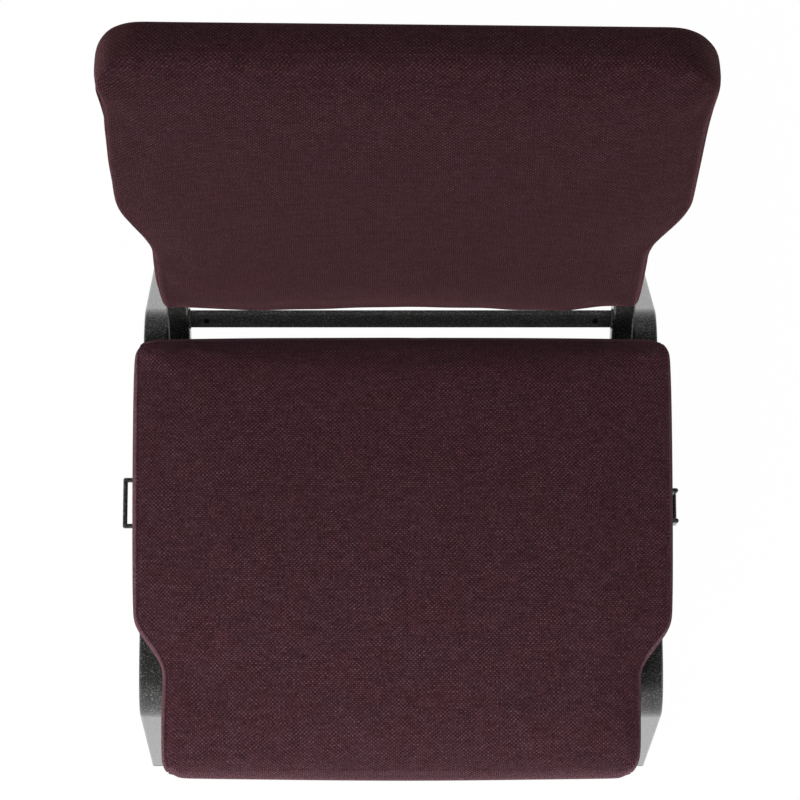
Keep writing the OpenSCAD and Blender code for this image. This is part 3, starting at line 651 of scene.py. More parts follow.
def ringXY(point, taus, signs, d):
    x, y = point(taus, d + np.zeros_like(taus))
    return x * signs, y


def ringNormals(point, taus, signs):
    e = 1e-3
    x0, y0 = point(np.maximum(taus - e, 0.0), np.zeros_like(taus))
    x1, y1 = point(np.minimum(taus + e, tauEnd), np.zeros_like(taus))
    nx, ny = y1 - y0, x0 - x1
    size = np.hypot(nx, ny) + tiny
    return nx / size * signs, ny / size


# a Coons grid between the four sides of a ring, given as values in ring order
def fillGrid(ringValues, columns, rows, uShare, vShare):
    n, m = columns, rows
    v = np.asarray(ringValues, float)
    front, right = v[0:n + 1], v[n:n + m + 1]
    rear = v[n + m:2 * n + m + 1][::-1]
    left = np.concatenate([v[2 * n + m:], v[:1]])[::-1]
    u, w = uShare[:, None], vShare[None, :]
    grid = (1 - w) * front[:, None] + w * rear[:, None] + (1 - u) * left[None, :] + u * right[None, :]
    grid -= (1 - u) * (1 - w) * front[0] + u * (1 - w) * front[-1] + (1 - u) * w * rear[0] + u * w * rear[-1]
    return grid


def roll(radius, e):
    e = np.clip(e, 0.0, radius)
    return radius - np.sqrt(np.maximum(radius * radius - (radius - e) ** 2, 0.0))


# quads of a closed form: top grid, rings round it, bottom grid, each with a label
def pillowFaces(columns, rows, ringCount, offset):
    n, m = columns, rows
    size = 2 * (n + m)
    inner = (n - 1) * (m - 1)
    order = [(i, 0) for i in range(n)] + [(n, j) for j in range(m)]
    order += [(i, m) for i in range(n, 0, -1)] + [(0, j) for j in range(m, 0, -1)]

    def gridIds(ringNo, start):
        ids = np.zeros((n + 1, m + 1), int)
        for k, (i, j) in enumerate(order):
            ids[i, j] = offset + ringNo * size + k
        ids[1:n, 1:m] = start + np.arange(inner).reshape(n - 1, m - 1)
        return ids

    top = gridIds(0, offset + ringCount * size)
    low = gridIds(ringCount - 1, offset + ringCount * size + inner)
    faces, labels = [], []
    for i in range(n):
        for j in range(m):
            faces.append((top[i, j], top[i + 1, j], top[i + 1, j + 1], top[i, j + 1]))
            labels.append(("top", -1, -1))
            faces.append((low[i, j], low[i, j + 1], low[i + 1, j + 1], low[i + 1, j]))
            labels.append(("low", -1, -1))
    for r in range(ringCount - 1):
        for k in range(size):
            a, b = offset + r * size, offset + (r + 1) * size
            k1 = (k + 1) % size
            faces.append((a + k, b + k, b + k1, a + k1))
            labels.append(("ring", r, k))
    return faces, labels


def meshObject(name, points, faces, loopUV, material):
    data = bpy.data.meshes.new(name)
    data.from_pydata([tuple(p * mm) for p in points], [], faces)
    layer = data.uv_layers.new(name="clothUV")
    layer.data.foreach_set("uv", (np.concatenate(loopUV) * mm).ravel().astype(np.float32))
    data.materials.append(material)
    data.update()
    obj = bpy.data.objects.new(name, data)
    bpy.context.scene.collection.objects.link(obj)
    selectOnly(obj)
    bpy.ops.object.mode_set(mode="EDIT")
    bpy.ops.mesh.select_all(action="SELECT")
    bpy.ops.mesh.normals_make_consistent(inside=False)
    bpy.ops.object.mode_set(mode="OBJECT")
    bpy.ops.object.shade_smooth()
    return obj


# how the padded pieces are swollen
swell = {
    "frames": 20,
    "stretch": 25, "bend": 2.0,
}


# swells a closed form with Cloth; held is 1 where a point stays put, caps the most a point may move in mm
def inflate(obj, held, caps, pressure):
    count = len(obj.data.vertices)
    group = obj.vertex_groups.new(name="held")
    weights = np.round(held, 2)
    for weight in np.unique(weights[weights > 0]):
        group.add([int(i) for i in np.where(weights == weight)[0]], float(weight), "REPLACE")
    before, after = np.zeros(count * 3), np.zeros(count * 3)
    obj.data.vertices.foreach_get("co", before)
    soft = obj.modifiers.new("swell", "CLOTH")
    soft.settings.use_pressure = True
    soft.settings.uniform_pressure_force = pressure
    soft.settings.vertex_group_mass = "held"
    soft.settings.effector_weights.gravity = 0.0
    soft.settings.tension_stiffness = swell["stretch"]
    soft.settings.compression_stiffness = swell["stretch"]
    soft.settings.bending_stiffness = swell["bend"]
    soft.collision_settings.use_collision = False
    for moment in range(1, swell["frames"] + 1):
        bpy.context.scene.frame_set(moment)
    ready = obj.evaluated_get(bpy.context.evaluated_depsgraph_get())
    ready.data.vertices.foreach_get("co", after)
    selectOnly(obj)
    bpy.ops.object.modifier_apply(modifier="swell")
    bpy.context.scene.frame_set(1)
    move = (after - before).reshape(-1, 3)
    far = np.linalg.norm(move, axis=1) + tiny
    limit = caps * mm + least
    move *= (limit * np.tanh(far / limit) / far)[:, None]
    obj.data.vertices.foreach_set("co", (before.reshape(-1, 3) + move).ravel())
    obj.vertex_groups.clear()
    kept = np.linalg.norm(move, axis=1).max() / mm
    print(f"{obj.name} swollen: most free {far.max() / mm:.1f} mm, kept {kept:.1f} mm")
    selectOnly(obj)
    smooth = obj.modifiers.new("smooth", "SUBSURF")
    smooth.levels = 1
    smooth.render_levels = 1
    bpy.ops.object.modifier_apply(modifier="smooth")


# the way along the seat from front to rear, over its rolled edges
def frontArcV(y):
    f = seat
    e = np.clip(y - f["front"], 0.0, f["waterfall"])
    g = np.clip(f["rear"] - y, 0.0, f["rearRoll"])
    overFront = f["front"] + f["waterfall"] * (1 - np.arcsin(1 - e / f["waterfall"]))
    overRear = f["rear"] - f["rearRoll"] * (1 - np.arcsin(1 - g / f["rearRoll"]))
    v = np.where(y - f["front"] < f["waterfall"], overFront, y)
    return np.where(f["rear"] - y < f["rearRoll"], overRear, v)


def seatDrop(y):
    return roll(seat["waterfall"], y - seat["front"]) + roll(seat["rearRoll"], seat["rear"] - y)


# a share from 0 to 1 over a width, which is negative where the share grows backwards
def slope(value, start, width):
    return np.clip((value - start) / width, 0.0, 1.0)


def fading(value, width):
    return np.clip(1.0 - value / width, 0.0, 1.0)


def bell(value, middle, width, power=2):
    return np.exp(-((value - middle) / width) ** power)


# sum of waves, each given as length, phase and height
def waves(run, table):
    return sum(high * np.sin(run / length + phase) for length, phase, high in table)


def arcShares(line):
    run = np.concatenate([[0.0], np.cumsum(np.linalg.norm(np.diff(line, axis=0), axis=1))])
    return run / run[-1]


def ringClimb(rings):
    steps = np.linalg.norm(np.diff(rings, axis=0), axis=2)
    return np.concatenate([np.zeros((1, rings.shape[1])), np.cumsum(steps, axis=0)])


def innerPoints(gx, gy, gz):
    return np.stack([gx, gy, gz + 0 * gx], axis=2)[1:-1, 1:-1].reshape(-1, 3)


# the way along a side seam at the points ks of face k; the last face closes the ring
def seamRun(perimeter, k, ks):
    closes = (k == len(perimeter) - 1) & (ks == 0)
    return np.where(closes, perimeter[-1] + nearSteps[1], perimeter[ks])


# seat cushion: cover and foam as one closed form, with a pocket for the board in its underside
# rings from the edge of the top grid out, down the wall, under the lip and into the pocket
seatRings = [
    (16.0, "crown", 0.30), (13.4, "crown", 0.235), (11.2, "crown", 0.16), (9.6, "crown", 0.08),
    (8.6, "crown", 0.0), (8.0, "seam", 0.0),
    (7.4, "wall", 0.995), (6.4, "wall", 0.985), (5.2, "wall", 0.955), (4.1, "wall", 0.90),
    (3.1, "wall", 0.82), (2.2, "wall", 0.71), (1.6, "wall", 0.58), (1.3, "wall", 0.44),
    (1.3, "wall", 0.31), (1.5, "wall", 0.19), (2.0, "wall", 0.09), (2.9, "wall", 0.0),
    (5.4, "flat", 412.4), (8.6, "flat", 408.3), (12.0, "flat", 406.5), (14.0, "flat", 406.4),
    (21.0, "flat", 406.4), (29.0, "flat", 406.4), (30.0, "flat", 407.0), (29.0, "flat", 407.6),
    (13.7, "flat", 407.6), (13.7, "flat", 409.0), (13.7, "flat", 419.5), (14.6, "flat", 420.2),
]
seatSeamRing = 5
seatLipRing = 20


def buildSeat():
    f = seat
    n, m = f["columns"], f["rows"]
    size = 2 * (n + m)
    taus, signs = outlineTaus(seatPoint, n, m)
    corners = [0, n, n + m, 2 * n + m]
    onSide = np.zeros(size)
    onSide[n:n + m + 1] = 1.0
    onSide[2 * n + m:] = 1.0
    onSide[0] = 1.0
    corner = np.zeros(size)
    corner[corners] = 1.0
    nx, ny = ringNormals(seatPoint, taus, signs)
    perimeter = runLength(*ringXY(seatPoint, taus, signs, 0.0))
    pucker = waves(perimeter * 2 * math.pi, f["pucker"])
    rings = []
    for d, kind, value in seatRings:
        x, y = ringXY(seatPoint, taus, signs, d)
        top = f["seamZ"] - seatDrop(y)
        z = {
            "crown": top + value * f["crown"],
            "seam": top - f["seamSink"] * onSide,
            "wall": f["wallLow"] + value * (top - f["wallLow"]),
            "flat": np.full(size, value),
        }[kind]
        rings.append(np.stack([x, y, z], axis=1))
    rings = np.array(rings)
    # puckers along the side seam, and the sewn-in corner seams
    sink = corner * (f["cornerSink"] + f["firstSink"] * (np.arange(size) == 0))
    for r in range(len(rings)):
        nearSeam = math.exp(-((r - seatSeamRing) / f["puckerRings"]) ** 2)
        rings[r, :, 2] += f["puckerHigh"] * pucker * nearSeam * onSide
        if seatSeamRing < r < seatLipRing:
            rings[r, :, 0] -= nx * sink
            rings[r, :, 1] -= ny * sink
    # pleats folded in beside the corners
    for c, way, depth in f["pleats"]:
        for step, share in f["pleatSteps"]:
            k = (corners[c] + way * step) % size
            for r in range(f["pleatRing"], seatLipRing + 1):
                fade = min(1.0, (r - f["pleatRing"]) / f["pleatFade"])
                rings[r, k, 0] -= nx[k] * depth * share * fade
                rings[r, k, 1] -= ny[k] * depth * share * fade
    for r in range(seatLipRing + 1):
        # the cover sits a little to one side, while the pocket stays with the board
        x, y = rings[r, :, 0].copy(), rings[r, :, 1].copy()
        free = min(1.0, (seatLipRing + 1 - r) / f["looseRings"])
        moved = f["offset"] * slope(y, *f["bodyEnds"]) - f["noseBack"] * slope(y, *f["noseEnds"])
        rings[r, :, 0] += free * moved
        # both notches start a little farther back in the cover than in the board
        shift = np.where(x < 0.0, f["notchShift"][0], f["notchShift"][1])
        rings[r, :, 1] += free * shift * bell(y, *f["notch"]) * (np.abs(x) > f["notchX"])
        # its two right corners are rounder than the left ones
        x = rings[r, :, 0].copy()
        y = rings[r, :, 1].copy()
        for far, acrossEnds, alongEnds, power in f["roundings"]:
            rings[r, :, 0] -= far * slope(x, *acrossEnds) * slope(y, *alongEnds) ** power
    # Coons grids for the crown and for the top of the pocket
    frontArc, sideArc = arcShares(rings[0, :n + 1]), arcShares(rings[0, n:n + m + 1])
    gx, gy, px, py = [fillGrid(rings[r, :, i], n, m, frontArc, sideArc) for r in (0, -1) for i in (0, 1)]
    au, av = np.abs(2 * frontArc - 1)[:, None], np.abs(2 * sideArc - 1)[None, :]
    lift = f["edgeLift"] + f["lift"] * (1 - au ** f["liftPower"]) * (1 - av ** f["liftPower"])
    topInner = innerPoints(gx, gy, f["seamZ"] + f["crown"] * lift - seatDrop(gy))
    lowInner = innerPoints(px, py, rings[-1, 0, 2])
    # where people sit the foam has taken a slight set
    across, along = topInner[:, 0] / f["satHalf"][0], (topInner[:, 1] - f["satMiddle"]) / f["satHalf"][1]
    topInner[:, 2] -= f["satIn"] * np.exp(-(across ** 2 + along ** 2))
    points = np.concatenate([rings.reshape(-1, 3), topInner, lowInner])
    faces, labels = pillowFaces(n, m, len(rings), 0)
    climb = ringClimb(rings)
    topV = frontArcV(points[:, 1])
    loopUV = []
    for face, (kind, r, k) in zip(faces, labels):
        ids = np.array(face)
        ks, rs = ids % size, ids // size
        if kind == "top":
            loopUV.append(np.stack([points[ids, 0], topV[ids]], axis=1))
        elif kind == "low" or r >= seatLipRing:
            loopUV.append(points[ids, :2])
        elif k < n or n + m <= k < 2 * n + m:
            forward = -1.0 if k < n else 1.0
            loopUV.append(np.stack([points[ks, 0], topV[ks] + forward * climb[rs, ks]], axis=1))
        elif r < seatSeamRing:
            outward = 1.0 if k < n + m else -1.0
            loopUV.append(np.stack([points[ks, 0] + outward * climb[rs, ks], topV[ks]], axis=1))
        else:
            loopUV.append(np.stack([seamRun(perimeter, k, ks) + f["wallUV"], points[ids, 2]], axis=1))
    obj = meshObject("seatCushion", points, faces, loopUV, cloth)
    held = np.zeros(len(points))
    caps = np.full(len(points), f["cap"])
    for r in range(len(rings)):
        at = slice(r * size, (r + 1) * size)
        if r >= seatLipRing - 2:
            held[at] = 1.0
        elif r == seatSeamRing:
            held[at] = onSide
        elif r > seatSeamRing:
            held[at] = corner * f["cornerHeld"]
        inward = max(seatSeamRing - r, 0)
        caps[at] = f["wallCap"] + (f["cap"] - f["wallCap"]) * inward / seatSeamRing
    held[len(points) - len(lowInner):] = 1.0
    inflate(obj, held, caps, f["pressure"])
    return obj


seatCushion = buildSeat()
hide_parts("seat_cover", "seat_foam")
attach(seatCushion, "root")
print("seat cushion made")


# back cushion: rings from the edge of the front face round to the rear face
# each is given by its draw-in and its share of the thickness
backRings = [
    (11.0, 1.0), (9.0, 0.992), (7.4, 0.975), (6.0, 0.95), (5.2, 0.93), (4.6, 0.905), (4.0, 0.885),
    (3.2, 0.845), (2.3, 0.78), (1.5, 0.69), (1.1, 0.58), (1.0, 0.47), (1.0, 0.36), (1.1, 0.25),
    (1.5, 0.16), (2.2, 0.09), (3.4, 0.04), (5.4, 0.012), (8.0, 0.0),
]
backSeamRing = 5
slotFrom, slotTo, slotIn = 8, 15, 2
tube, frontBoard, rearBoard, room = 22.225, 7.0, 3.0, 0.3      # thicknesses, and the air beside them
boardFace = tube / 2 + room
pocket = {
    "front": boardFace + frontBoard + room, "rear": -boardFace - rearBoard - room,
    "in": 6.2, "low": 9.0, "top": 16.5, "drawn": (3.0, 0.2),
}


def backThin(s):
    return roll(back["rollLow"], s) + roll(back["rollTop"], back["length"] - s)


def buildBack():
    f = back
    n, m = f["columns"], f["rows"]
    size = 2 * (n + m)
    taus, signs = outlineTaus(backPoint, n, m)
    onSide = np.ones(size)
    onSide[1:n] = 0.0
    low = 1.0 * (np.arange(size) <= n)
    x0, s0 = ringXY(backPoint, taus, signs, 0.0)
    perimeter = runLength(x0, s0)
    pucker = waves(perimeter * 2 * math.pi, f["pucker"])
    pull = waves(x0, f["pull"])
    ringCount = len(backRings)
    rings, cave = [], []
    for r, (d, share) in enumerate(backRings):
        x, s = ringXY(backPoint, taus, signs, d)
        thin = backThin(s)
        nf = f["frontDepth"] - f["thinFront"] * thin
        nr = -f["rearDepth"] + f["thinRear"] * thin
        depth = nr + share * (nf - nr)
        near = math.exp(-((r - backSeamRing) / f["puckerRings"]) ** 2)
        depth = depth + f["puckerHigh"] * pucker * near * onSide
        if r == backSeamRing:
            depth = depth - f["seamSink"] * onSide
        # the lower edge is pulled unevenly by its staples
        rings.append(np.stack([x, s + low * pull * f["pullHigh"], depth], axis=1))
        # the room for the boards, uprights and screws inside
        most, drawn = pocket["drawn"]
        x, s = ringXY(backPoint, taus, signs, pocket["in"] + min(d, most) * drawn)
        s = np.clip(s, pocket["low"], f["length"] - pocket["top"])
        depth = pocket["rear"] + share * (pocket["front"] - pocket["rear"])
        cave.append(np.stack([x, s, depth + 0 * s], axis=1))
    rings, cave = np.array(rings), np.array(cave)
    frontArc, sideArc = arcShares(rings[0, :n + 1]), arcShares(rings[0, n:n + m + 1])
    au, av = np.abs(2 * frontArc - 1)[:, None], np.abs(2 * sideArc - 1)[None, :]
    lift = f["crown"] * (1 - au ** f["liftPowers"][0]) * (1 - av ** f["liftPowers"][1])

    def inner(ring, depth):
        gx, gs = [fillGrid(ring[:, i], n, m, frontArc, sideArc) for i in (0, 1)]
        return innerPoints(gx, gs, depth(backThin(gs)))

    outer = np.concatenate([
        rings.reshape(-1, 3),
        inner(rings[0], lambda thin: f["frontDepth"] - f["thinFront"] * thin + lift),
        inner(rings[-1], lambda thin: -f["rearDepth"] + f["thinRear"] * thin + f["rearLift"] * lift),
    ])
    hollow = np.concatenate([
        cave.reshape(-1, 3),
        inner(cave[0], lambda thin: pocket["front"]),
        inner(cave[-1], lambda thin: pocket["rear"]),
    ])
    facesA, labelsA = pillowFaces(n, m, ringCount, 0)
    facesB, labelsB = pillowFaces(n, m, ringCount, len(outer))
    # the slot in the lower edge, where the uprights come in
    kFrom, kTo = slotIn, n - slotIn

    def inSlot(label):
        return label[0] == "ring" and slotFrom <= label[1] < slotTo and kFrom <= label[2] < kTo

    faces = [fc for fc, lb in zip(facesA, labelsA) if not inSlot(lb)]
    labels = [lb for lb in labelsA if not inSlot(lb)]
    facesIn = [fc[::-1] for fc, lb in zip(facesB, labelsB) if not inSlot(lb)]
    loop = [(slotFrom, k) for k in range(kFrom, kTo)] + [(r, kTo) for r in range(slotFrom, slotTo)]
    loop += [(slotTo, k) for k in range(kTo, kFrom, -1)] + [(r, kFrom) for r in range(slotTo, slotFrom, -1)]
    edge = [r * size + k for r, k in loop]
    bridge = []
    for a, b in zip(edge, edge[1:] + edge[:1]):
        bridge.append((a, b, b + len(outer), a + len(outer)))
    # the photo's cushion sits a little askew: it drifts to the right as it rises, and its top drops there
    x, s = outer[:, 0], outer[:, 1]
    up = np.clip(s / f["length"], 0.0, 1.0)
    x += f["askew"] * (s - f["askewFrom"])
    s += (f["rise"] - f["drop"] * x) * up
    # and its sides are drawn in below the left shoulder, less so on the right
    drawn, eased = [far * bell(s, at, width) for far, at, width in f["leftBells"]]
    x += (drawn - eased) * slope(x, *f["leftEnds"])
    far, at, width = f["rightBell"]
    most, start, over = f["rightTop"]
    x += (far * bell(s, at, width) - most * slope(s, start, over)) * slope(x, *f["rightEnds"])
    # its left lower corner is the rounder one
    x += f["leftCorner"][0] * fading(s, f["leftCorner"][1]) * slope(x, *f["leftEnds"])
    # and its lower edge hangs over the bar, lower in two places
    s -= backSlack(x) * fading(s, f["hangTo"]) ** f["hangPower"]
    flatPoints = np.concatenate([outer, hollow])
    points = ontoBack(flatPoints[:, 0], flatPoints[:, 1], flatPoints[:, 2])
    climb = ringClimb(rings)
    loopUV = []
    for face, (kind, r, k) in zip(faces, labels):
        ids = np.array(face)
        ks, rs = ids % size, ids // size
        if kind == "top":
            loopUV.append(flatPoints[ids, :2])
        elif kind == "low":
            loopUV.append(flatPoints[ids, :2] * np.array([-1.0, 1.0]) + np.array([f["rearUV"], 0.0]))
        elif k < n or r < backSeamRing:
            # the way out from the front face, by side: lower edge, right, top, left
            outX, outS = ((0, -1), (1, 0), (0, 1), (-1, 0))[(k >= n) + (k >= n + m) + (k >= 2 * n + m)]
            way = climb[rs, ks]
            loopUV.append(np.stack([rings[0, ks, 0] + outX * way, rings[0, ks, 1] + outS * way], axis=1))
        else:
            loopUV.append(np.stack([seamRun(perimeter, k, ks) + f["wallUV"], climb[rs, ks]], axis=1))
    for face in facesIn + bridge:
        loopUV.append(flatPoints[np.array(face), :2])
    obj = meshObject("backCushion", points, faces + facesIn + bridge, loopUV, backCloth)
    held = np.zeros(len(points))
    held[len(outer):] = 1.0
    held[backSeamRing * size:(backSeamRing + 1) * size] = onSide
    for r in range(backSeamRing + 1, ringCount):
        held[r * size:(r + 1) * size][low > 0] = 1.0
    caps = np.full(len(points), f["cap"])
    caps[:ringCount * size] = f["edgeCap"]
    rearStart = ringCount * size + (n - 1) * (m - 1)
    caps[rearStart:len(outer)] = f["rearCap"]
    # the front may swell more and more away from its edge, so that no ridge forms there
    reach = np.minimum((1 - au) * f["reachX"], (1 - av) * f["reachS"])[1:n, 1:m].reshape(-1)
    freed = np.clip(reach / f["capReach"], 0.0, 1.0)
    caps[ringCount * size:rearStart] = f["edgeCap"] + (f["cap"] - f["edgeCap"]) * freed
    inflate(obj, held, caps, f["pressure"])
    return obj


backCushion = buildBack()
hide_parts("back_cover", "back_foam", "back_rear_pad")
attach(backCushion, "root")
print("back cushion made")


# black non-woven cloth under the seat, cut to the seat's outline and stapled on
dust = {
    "front": -302.5, "rear": 94.5, "half": 246.0,
    "noseShare": 213.0 / 246.0, "noseFrom": -229.0, "noseTo": -166.0,
    "low": 405.25, "thick": 0.7, "lift": 0.1, "cornerIn": 3.5,
    "ripple": 0.28 * mm, "rippleSize": 0.035,
    "columns": 60, "rows": 48, "smoothTo": 40.0, "near": 1.0,
}


def buildDustCloth():
    f = dust
    width, length = 2 * f["half"] * mm, (f["rear"] - f["front"]) * mm
    middle = (0.0, (f["front"] + f["rear"]) / 2 * mm, (f["low"] + f["thick"] / 2 + f["lift"]) * mm)
    obj = gridSheet("dustCloth", f, width, length, middle)
    # the nose is narrower, for the front legs
    step = length / f["rows"]
    for row in range(f["rows"] + 1):
        y = f["front"] * mm + row * step
        k = min(max((y - f["noseFrom"] * mm) / ((f["noseTo"] - f["noseFrom"]) * mm), 0.0), 1.0)
        if k < 1.0:
            selectPoints(obj, lambda co: abs(co.y - y) < step / 3)
            share = f["noseShare"] + (1.0 - f["noseShare"]) * float(blend(k))
            bpy.ops.transform.resize(value=(share, 1.0, 1.0), center_override=(0.0, y, middle[2]))
    # round the corners of the cut
    near = f["near"] * mm
    for side in (-1.0, 1.0):
        for edge in (f["front"], f["rear"]):
            half = f["half"] * (f["noseShare"] if edge < 0 else 1.0)
            selectPoints(obj, lambda co: math.hypot(co.x - side * half * mm, co.y - edge * mm) < near)
            inward = 1.0 if edge < 0 else -1.0
            cut = f["cornerIn"] * mm
            bpy.ops.transform.translate(value=(-side * cut, inward * cut, 0.0))
    bpy.ops.object.mode_set(mode="OBJECT")
    thicken(obj, f)
    obj.data.materials.append(dustFelt)
    return obj


dustCloth = buildDustCloth()
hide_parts("seat_dust_cover")
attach(dustCloth, "root")
print("dust cloth made")


# staples: a flat crown with two short legs
staple = {
    "crown": 10.0, "wide": 1.2, "thick": 0.55, "leg": 0.7,
    "edgeIn": 8.0, "endIn": 22.0, "step": 36.0, "sideFrom": 20.0, "sideStep": 26.0, "sideCount": 3,
    "facing": 0.9, "bevel": 0.14, "smoothTo": 35.0, "below": 0.15,
    "crooked": (0.22, 2.4), "offX": (2.5, 1.7), "offY": (0.9, 3.1),      # how far, and how fast it sways
}


def buildStaple():
    f = staple
    bpy.ops.object.select_all(action="DESELECT")
    bpy.ops.mesh.primitive_cube_add(size=1.0, location=(0.0, 0.0, 0.0))
    obj = bpy.context.active_object
    bpy.ops.transform.resize(value=((f["crown"] - 2 * f["thick"]) * mm, f["wide"] * mm, f["thick"] * mm))
    settle(obj)
    for way in (-1.0, 1.0):
        selectFaces(obj, lambda at, normal: normal.x * way > f["facing"])
        bpy.ops.mesh.extrude_region_move(TRANSFORM_OT_translate={"value": (way * f["thick"] * mm, 0.0, 0.0)})
        endX = (f["crown"] / 2 - f["thick"]) * mm
        selectFaces(obj, lambda at, normal: normal.z > f["facing"] and at.x * way > endX)
        bpy.ops.mesh.extrude_region_move(TRANSFORM_OT_translate={"value": (0.0, 0.0, f["leg"] * mm)})
        bpy.ops.object.mode_set(mode="OBJECT")
    withModifier(obj, "BEVEL", width=f["bevel"] * mm, segments=2)
    selectOnly(obj)
    bpy.ops.object.shade_smooth_by_angle(angle=math.radians(f["smoothTo"]))
    return obj


def buildDustStaples():
    f, d = staple, dust
    model = buildStaple()
    z = d["low"] - f["below"] - f["thick"] / 2
    noseHalf = d["half"] * d["noseShare"]
    places = []
    reach = noseHalf - f["endIn"]
    count = int(2 * reach / f["step"]) + 1
    for i in range(count):
        x = -reach + i * 2 * reach / (count - 1)
        places.append((x, d["front"] + f["edgeIn"], 0.0))
        places.append((x, d["rear"] - f["edgeIn"], 0.0))
    for i in range(f["sideCount"]):
        for side in (-1.0, 1.0):
            y = d["front"] + f["sideFrom"] + i * f["sideStep"]
            places.append((side * (noseHalf - f["edgeIn"]), y, math.pi / 2))
    pieces = []
    for i, (x, y, turn) in enumerate(places):
        # each staple sits a little off its place, and crooked
        crooked, offX, offY = [sway(i, *f[key]) for key in ("crooked", "offX", "offY")]
        pieces.append(copyTo(model, (x + offX, y + offY, z), turn + crooked))
    selectOnly(model)
    bpy.ops.object.delete()
    return joined("dustStaples", pieces, zinc)


dustStaples = buildDustStaples()
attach(dustStaples, "root")
print("staples made")


# fabric-covered strip that closes the back's lower edge between the uprights
closing = {
    "half": 212.8, "front": 11.6, "rear": -12.2, "s": 1.6, "thick": 1.6, "fold": 1.6, "folded": 3.0,
    "columns": 96, "rows": 8, "ripple": 0.9 * mm, "rippleSize": 0.018, "uvStart": 0.7,
    "smoothTo": 50.0, "near": 0.1,
}


def buildClosingStrip():
    f = closing
    wide, deep = 2 * f["half"] * mm, (f["front"] - f["rear"]) * mm
    obj = gridSheet("backClosingStrip", f, wide, deep, (0.0, 0.0, 0.0))
    # its long edges are folded up
    selectPoints(obj, lambda co: abs(co.y) > deep / 2 - f["near"] * mm)
    bpy.ops.transform.translate(value=(0.0, 0.0, f["fold"] * mm))
    # and it follows the hang of the cushion's lower edge
    hang = (1.0 - f["s"] / back["hangTo"]) ** back["hangPower"]
    for column in range(f["columns"] + 1):
        x = -wide / 2 + column * wide / f["columns"]
        selectPoints(obj, lambda co: abs(co.x - x) < wide / f["columns"] / 3)
        bpy.ops.transform.translate(value=(0.0, 0.0, -hang * float(backSlack(x / mm)) * mm))
    bpy.ops.object.mode_set(mode="OBJECT")
    layer = obj.data.uv_layers[0]
    layer.name = "clothUV"
    for loop in layer.data:
        loop.uv = (loop.uv[0] * wide + f["uvStart"], loop.uv[1] * deep)
    thicken(obj, f)
    at = ontoBack(0.0, f["s"], (f["front"] + f["rear"]) / 2)
    obj.location = [float(v) * mm for v in at]
    obj.rotation_euler = (-leanLow, 0.0, 0.0)
    settle(obj)
    obj.data.materials.append(backCloth)
    return obj


closingStrip = buildClosingStrip()
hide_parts("back_closing_strip")
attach(closingStrip, "root")
print("closing strip made")


# weld beads: overlapping flattened drops along each joint
weld = {
    "r": 1.5, "pitch": 1.15, "segments": (12, 8), "flat": 0.75, "leanFrom": 0.4, "leanBy": 0.12,
    "uneven": (0.15, 2.1), "turned": (0.25, 1.3), "ringTurned": (0.3, 1.9), "ringDrops": 10,
    "proud": 0.2, "barIn": 0.4, "runIn": 0.3, "wireOut": 0.5, "railOut": 0.3,
    "barX": 213.175, "barT": 6.35, "barW": 19.05,
    "runX": 236.2, "strapW": 25.4, "strapLow": 376.425, "strapY": (-160.55, 26.825),
    "railX": 261.6, "railZ": 392.3, "wire": 2.4,
    "loop": (-44.5, 23.4), "hook": (-47.0, 15.4),        # middle and half spacing of the wire's arms, along Y
}


def buildDrop():
    bpy.ops.object.select_all(action="DESELECT")
    bpy.ops.mesh.primitive_uv_sphere_add(segments=weld["segments"][0], ring_count=weld["segments"][1],
                                         radius=weld["r"] * mm, location=(0.0, 0.0, 0.0))
    obj = bpy.context.active_object
    bpy.ops.transform.resize(value=(weld["flat"], 1.0, weld["flat"]))
    settle(obj)
    selectPoints(obj, lambda co: co.z > weld["leanFrom"] * weld["r"] * mm)
    bpy.ops.transform.translate(value=(0.0, weld["leanBy"] * weld["r"] * mm, 0.0))
    bpy.ops.object.mode_set(mode="OBJECT")
    selectOnly(obj)
    bpy.ops.object.shade_smooth()
    return obj


def beadAlong(model, start, end, pieces):
    start, end = Vector(start), Vector(end)
    count = max(2, int((end - start).length / weld["pitch"]) + 1)
    for i in range(count):
        at = start.lerp(end, i / (count - 1))
        lift = sway(i, *weld["uneven"])
        pieces.append(copyTo(model, (at.x, at.y + lift, at.z + lift), sway(i, *weld["turned"])))


def barPoint(x, t, w):
    lean = barHoles["lean"]
    y = barHoles["y"] / mm + t * math.cos(lean) + w * math.sin(lean)
    z = barHoles["z"] / mm - t * math.sin(lean) + w * math.cos(lean)
    return (x, y, z)


def buildWelds():
    f = weld
    model = buildDrop()
    pieces = []
    half, proud, thick = f["barW"] / 2, f["proud"], f["barT"]
    for side in (-1.0, 1.0):
        x = side * (f["barX"] - f["barIn"])
        beadAlong(model, barPoint(x, -proud, half), barPoint(x, -proud, -half), pieces)
        beadAlong(model, barPoint(x, 0.0, half + proud), barPoint(x, thick, half + proud), pieces)
        beadAlong(model, barPoint(x, thick + proud, half), barPoint(x, thick + proud, -half), pieces)
        for y in f["strapY"]:
            x = side * (f["runX"] - f["runIn"])
            low, wide = f["strapLow"], f["strapW"] / 2
            beadAlong(model, (x, y - wide, low), (x, y + wide, low), pieces)
    for side, (y, spacing) in ((-1.0, f["loop"]), (1.0, f["hook"])):
        for way in (-1.0, 1.0):
            for i in range(f["ringDrops"]):
                a = i * 2 * math.pi / f["ringDrops"]
                r = f["wire"] + f["wireOut"]
                atY, atZ = y + way * spacing + r * math.cos(a), f["railZ"] + r * math.sin(a)
                at = (side * (f["railX"] + f["railOut"]), atY, atZ)
                pieces.append(copyTo(model, at, sway(i, *f["ringTurned"])))
    selectOnly(model)
    bpy.ops.object.delete()
    return joined("weldBeads", pieces, framePaint)


weldBeads = buildWelds()
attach(weldBeads, "root")
print("weld beads made")


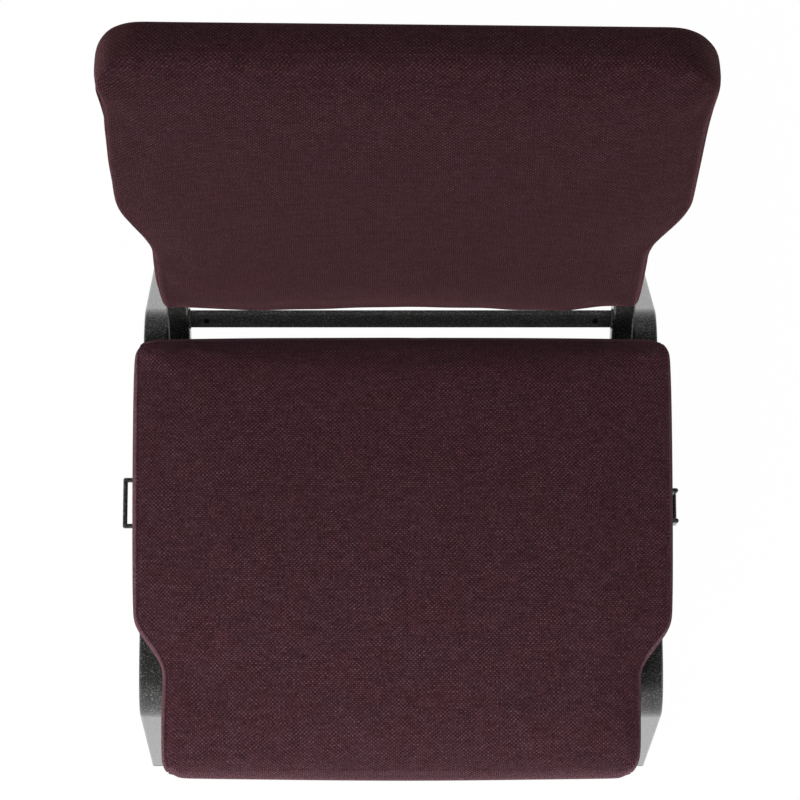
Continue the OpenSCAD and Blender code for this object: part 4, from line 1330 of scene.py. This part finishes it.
# floor and lights
stage = {
    "floor": 14.0, "paint": (0.86, 0.86, 0.86), "roughness": 0.8, "glow": 0.985,
    "mirrored": (0.45, 1.3, 1.0, 0.22),          # the paint mirrors a floor that darkens behind the chair
    "wallHigh": (0.45, 0.75, 1.0, 0.10), "wallRear": (-0.2, 0.3, 1.0, 0.30), "fill": 0.13,
    "aim": (0.0, -0.1, 0.5),
}
lamps = [
    ("frontLight", (-0.3, -1.1, 1.7), (1.0, 0.6), 33.0),
    ("rearLight", (0.0, 2.4, 2.2), (2.0, 1.2), 30.0),
    ("leftLight", (-2.6, -0.4, 1.8), (1.4, 1.4), 24.0),
    ("rightLight", (2.6, -0.4, 1.8), (1.4, 1.4), 9.0),
]

floorMat, tree, shader = newMaterial("paleFloor")
feed(tree, shader, {"Base Color": stage["paint"], "Roughness": stage["roughness"]})
glow = feed(tree, addNode(tree, "ShaderNodeEmission"), {"Strength": 1.0})[0]
rays = addNode(tree, "ShaderNodeLightPath").outputs
fade = mapRange(tree, split(tree, objectPlace(tree))[1], *stage["mirrored"])
seen = mathNode(tree, "MAXIMUM", times(tree, rays["Is Glossy Ray"], fade), rays["Is Transmission Ray"])
seen = times(tree, mathNode(tree, "MAXIMUM", seen, rays["Is Camera Ray"]), stage["glow"])
surface = feed(tree, addNode(tree, "ShaderNodeMixShader"), {0: seen, 1: shader.outputs[0], 2: glow})[0]
feed(tree, tree.nodes["Material Output"], {"Surface": surface})

bpy.ops.object.select_all(action="DESELECT")
bpy.ops.mesh.primitive_plane_add(size=stage["floor"], location=(0.0, 0.0, 0.0))
floor = bpy.context.active_object
floor.name = "floor"
floor.data.materials.append(floorMat)

# dim for light, white to the camera, and for gloss a white wall all round under a dark ceiling
world = bpy.data.worlds.new("studioWorld")
bpy.context.scene.world = world
world.use_nodes = True
tree = world.node_tree
across, along, up = split(tree, addNode(tree, "ShaderNodeTexCoord").outputs["Generated"])
wall = times(tree, mapRange(tree, up, *stage["wallHigh"]), mapRange(tree, along, *stage["wallRear"]))
rays = addNode(tree, "ShaderNodeLightPath").outputs
glossy = rays["Is Glossy Ray"]
strength = plus(tree, times(tree, glossy, wall), times(tree, minus(tree, 1.0, glossy), stage["fill"]))
strength = mathNode(tree, "MAXIMUM", strength, rays["Is Camera Ray"])
feed(tree, tree.nodes["Background"], {"Color": (1.0, 1.0, 1.0), "Strength": strength})

for name, place, size, power in lamps:
    data = bpy.data.lights.new(name, "AREA")
    data.shape = "RECTANGLE"
    data.size, data.size_y = size
    data.energy = power
    lamp = bpy.data.objects.new(name, data)
    lamp.location = place
    lamp.rotation_euler = (Vector(stage["aim"]) - Vector(place)).to_track_quat("-Z", "Y").to_euler()
    lamp.visible_glossy = False     # the paint mirrors the white surroundings, not the lamps
    bpy.context.scene.collection.objects.link(lamp)
print("stage lit")

bpy.context.scene.view_settings.view_transform = "Standard"
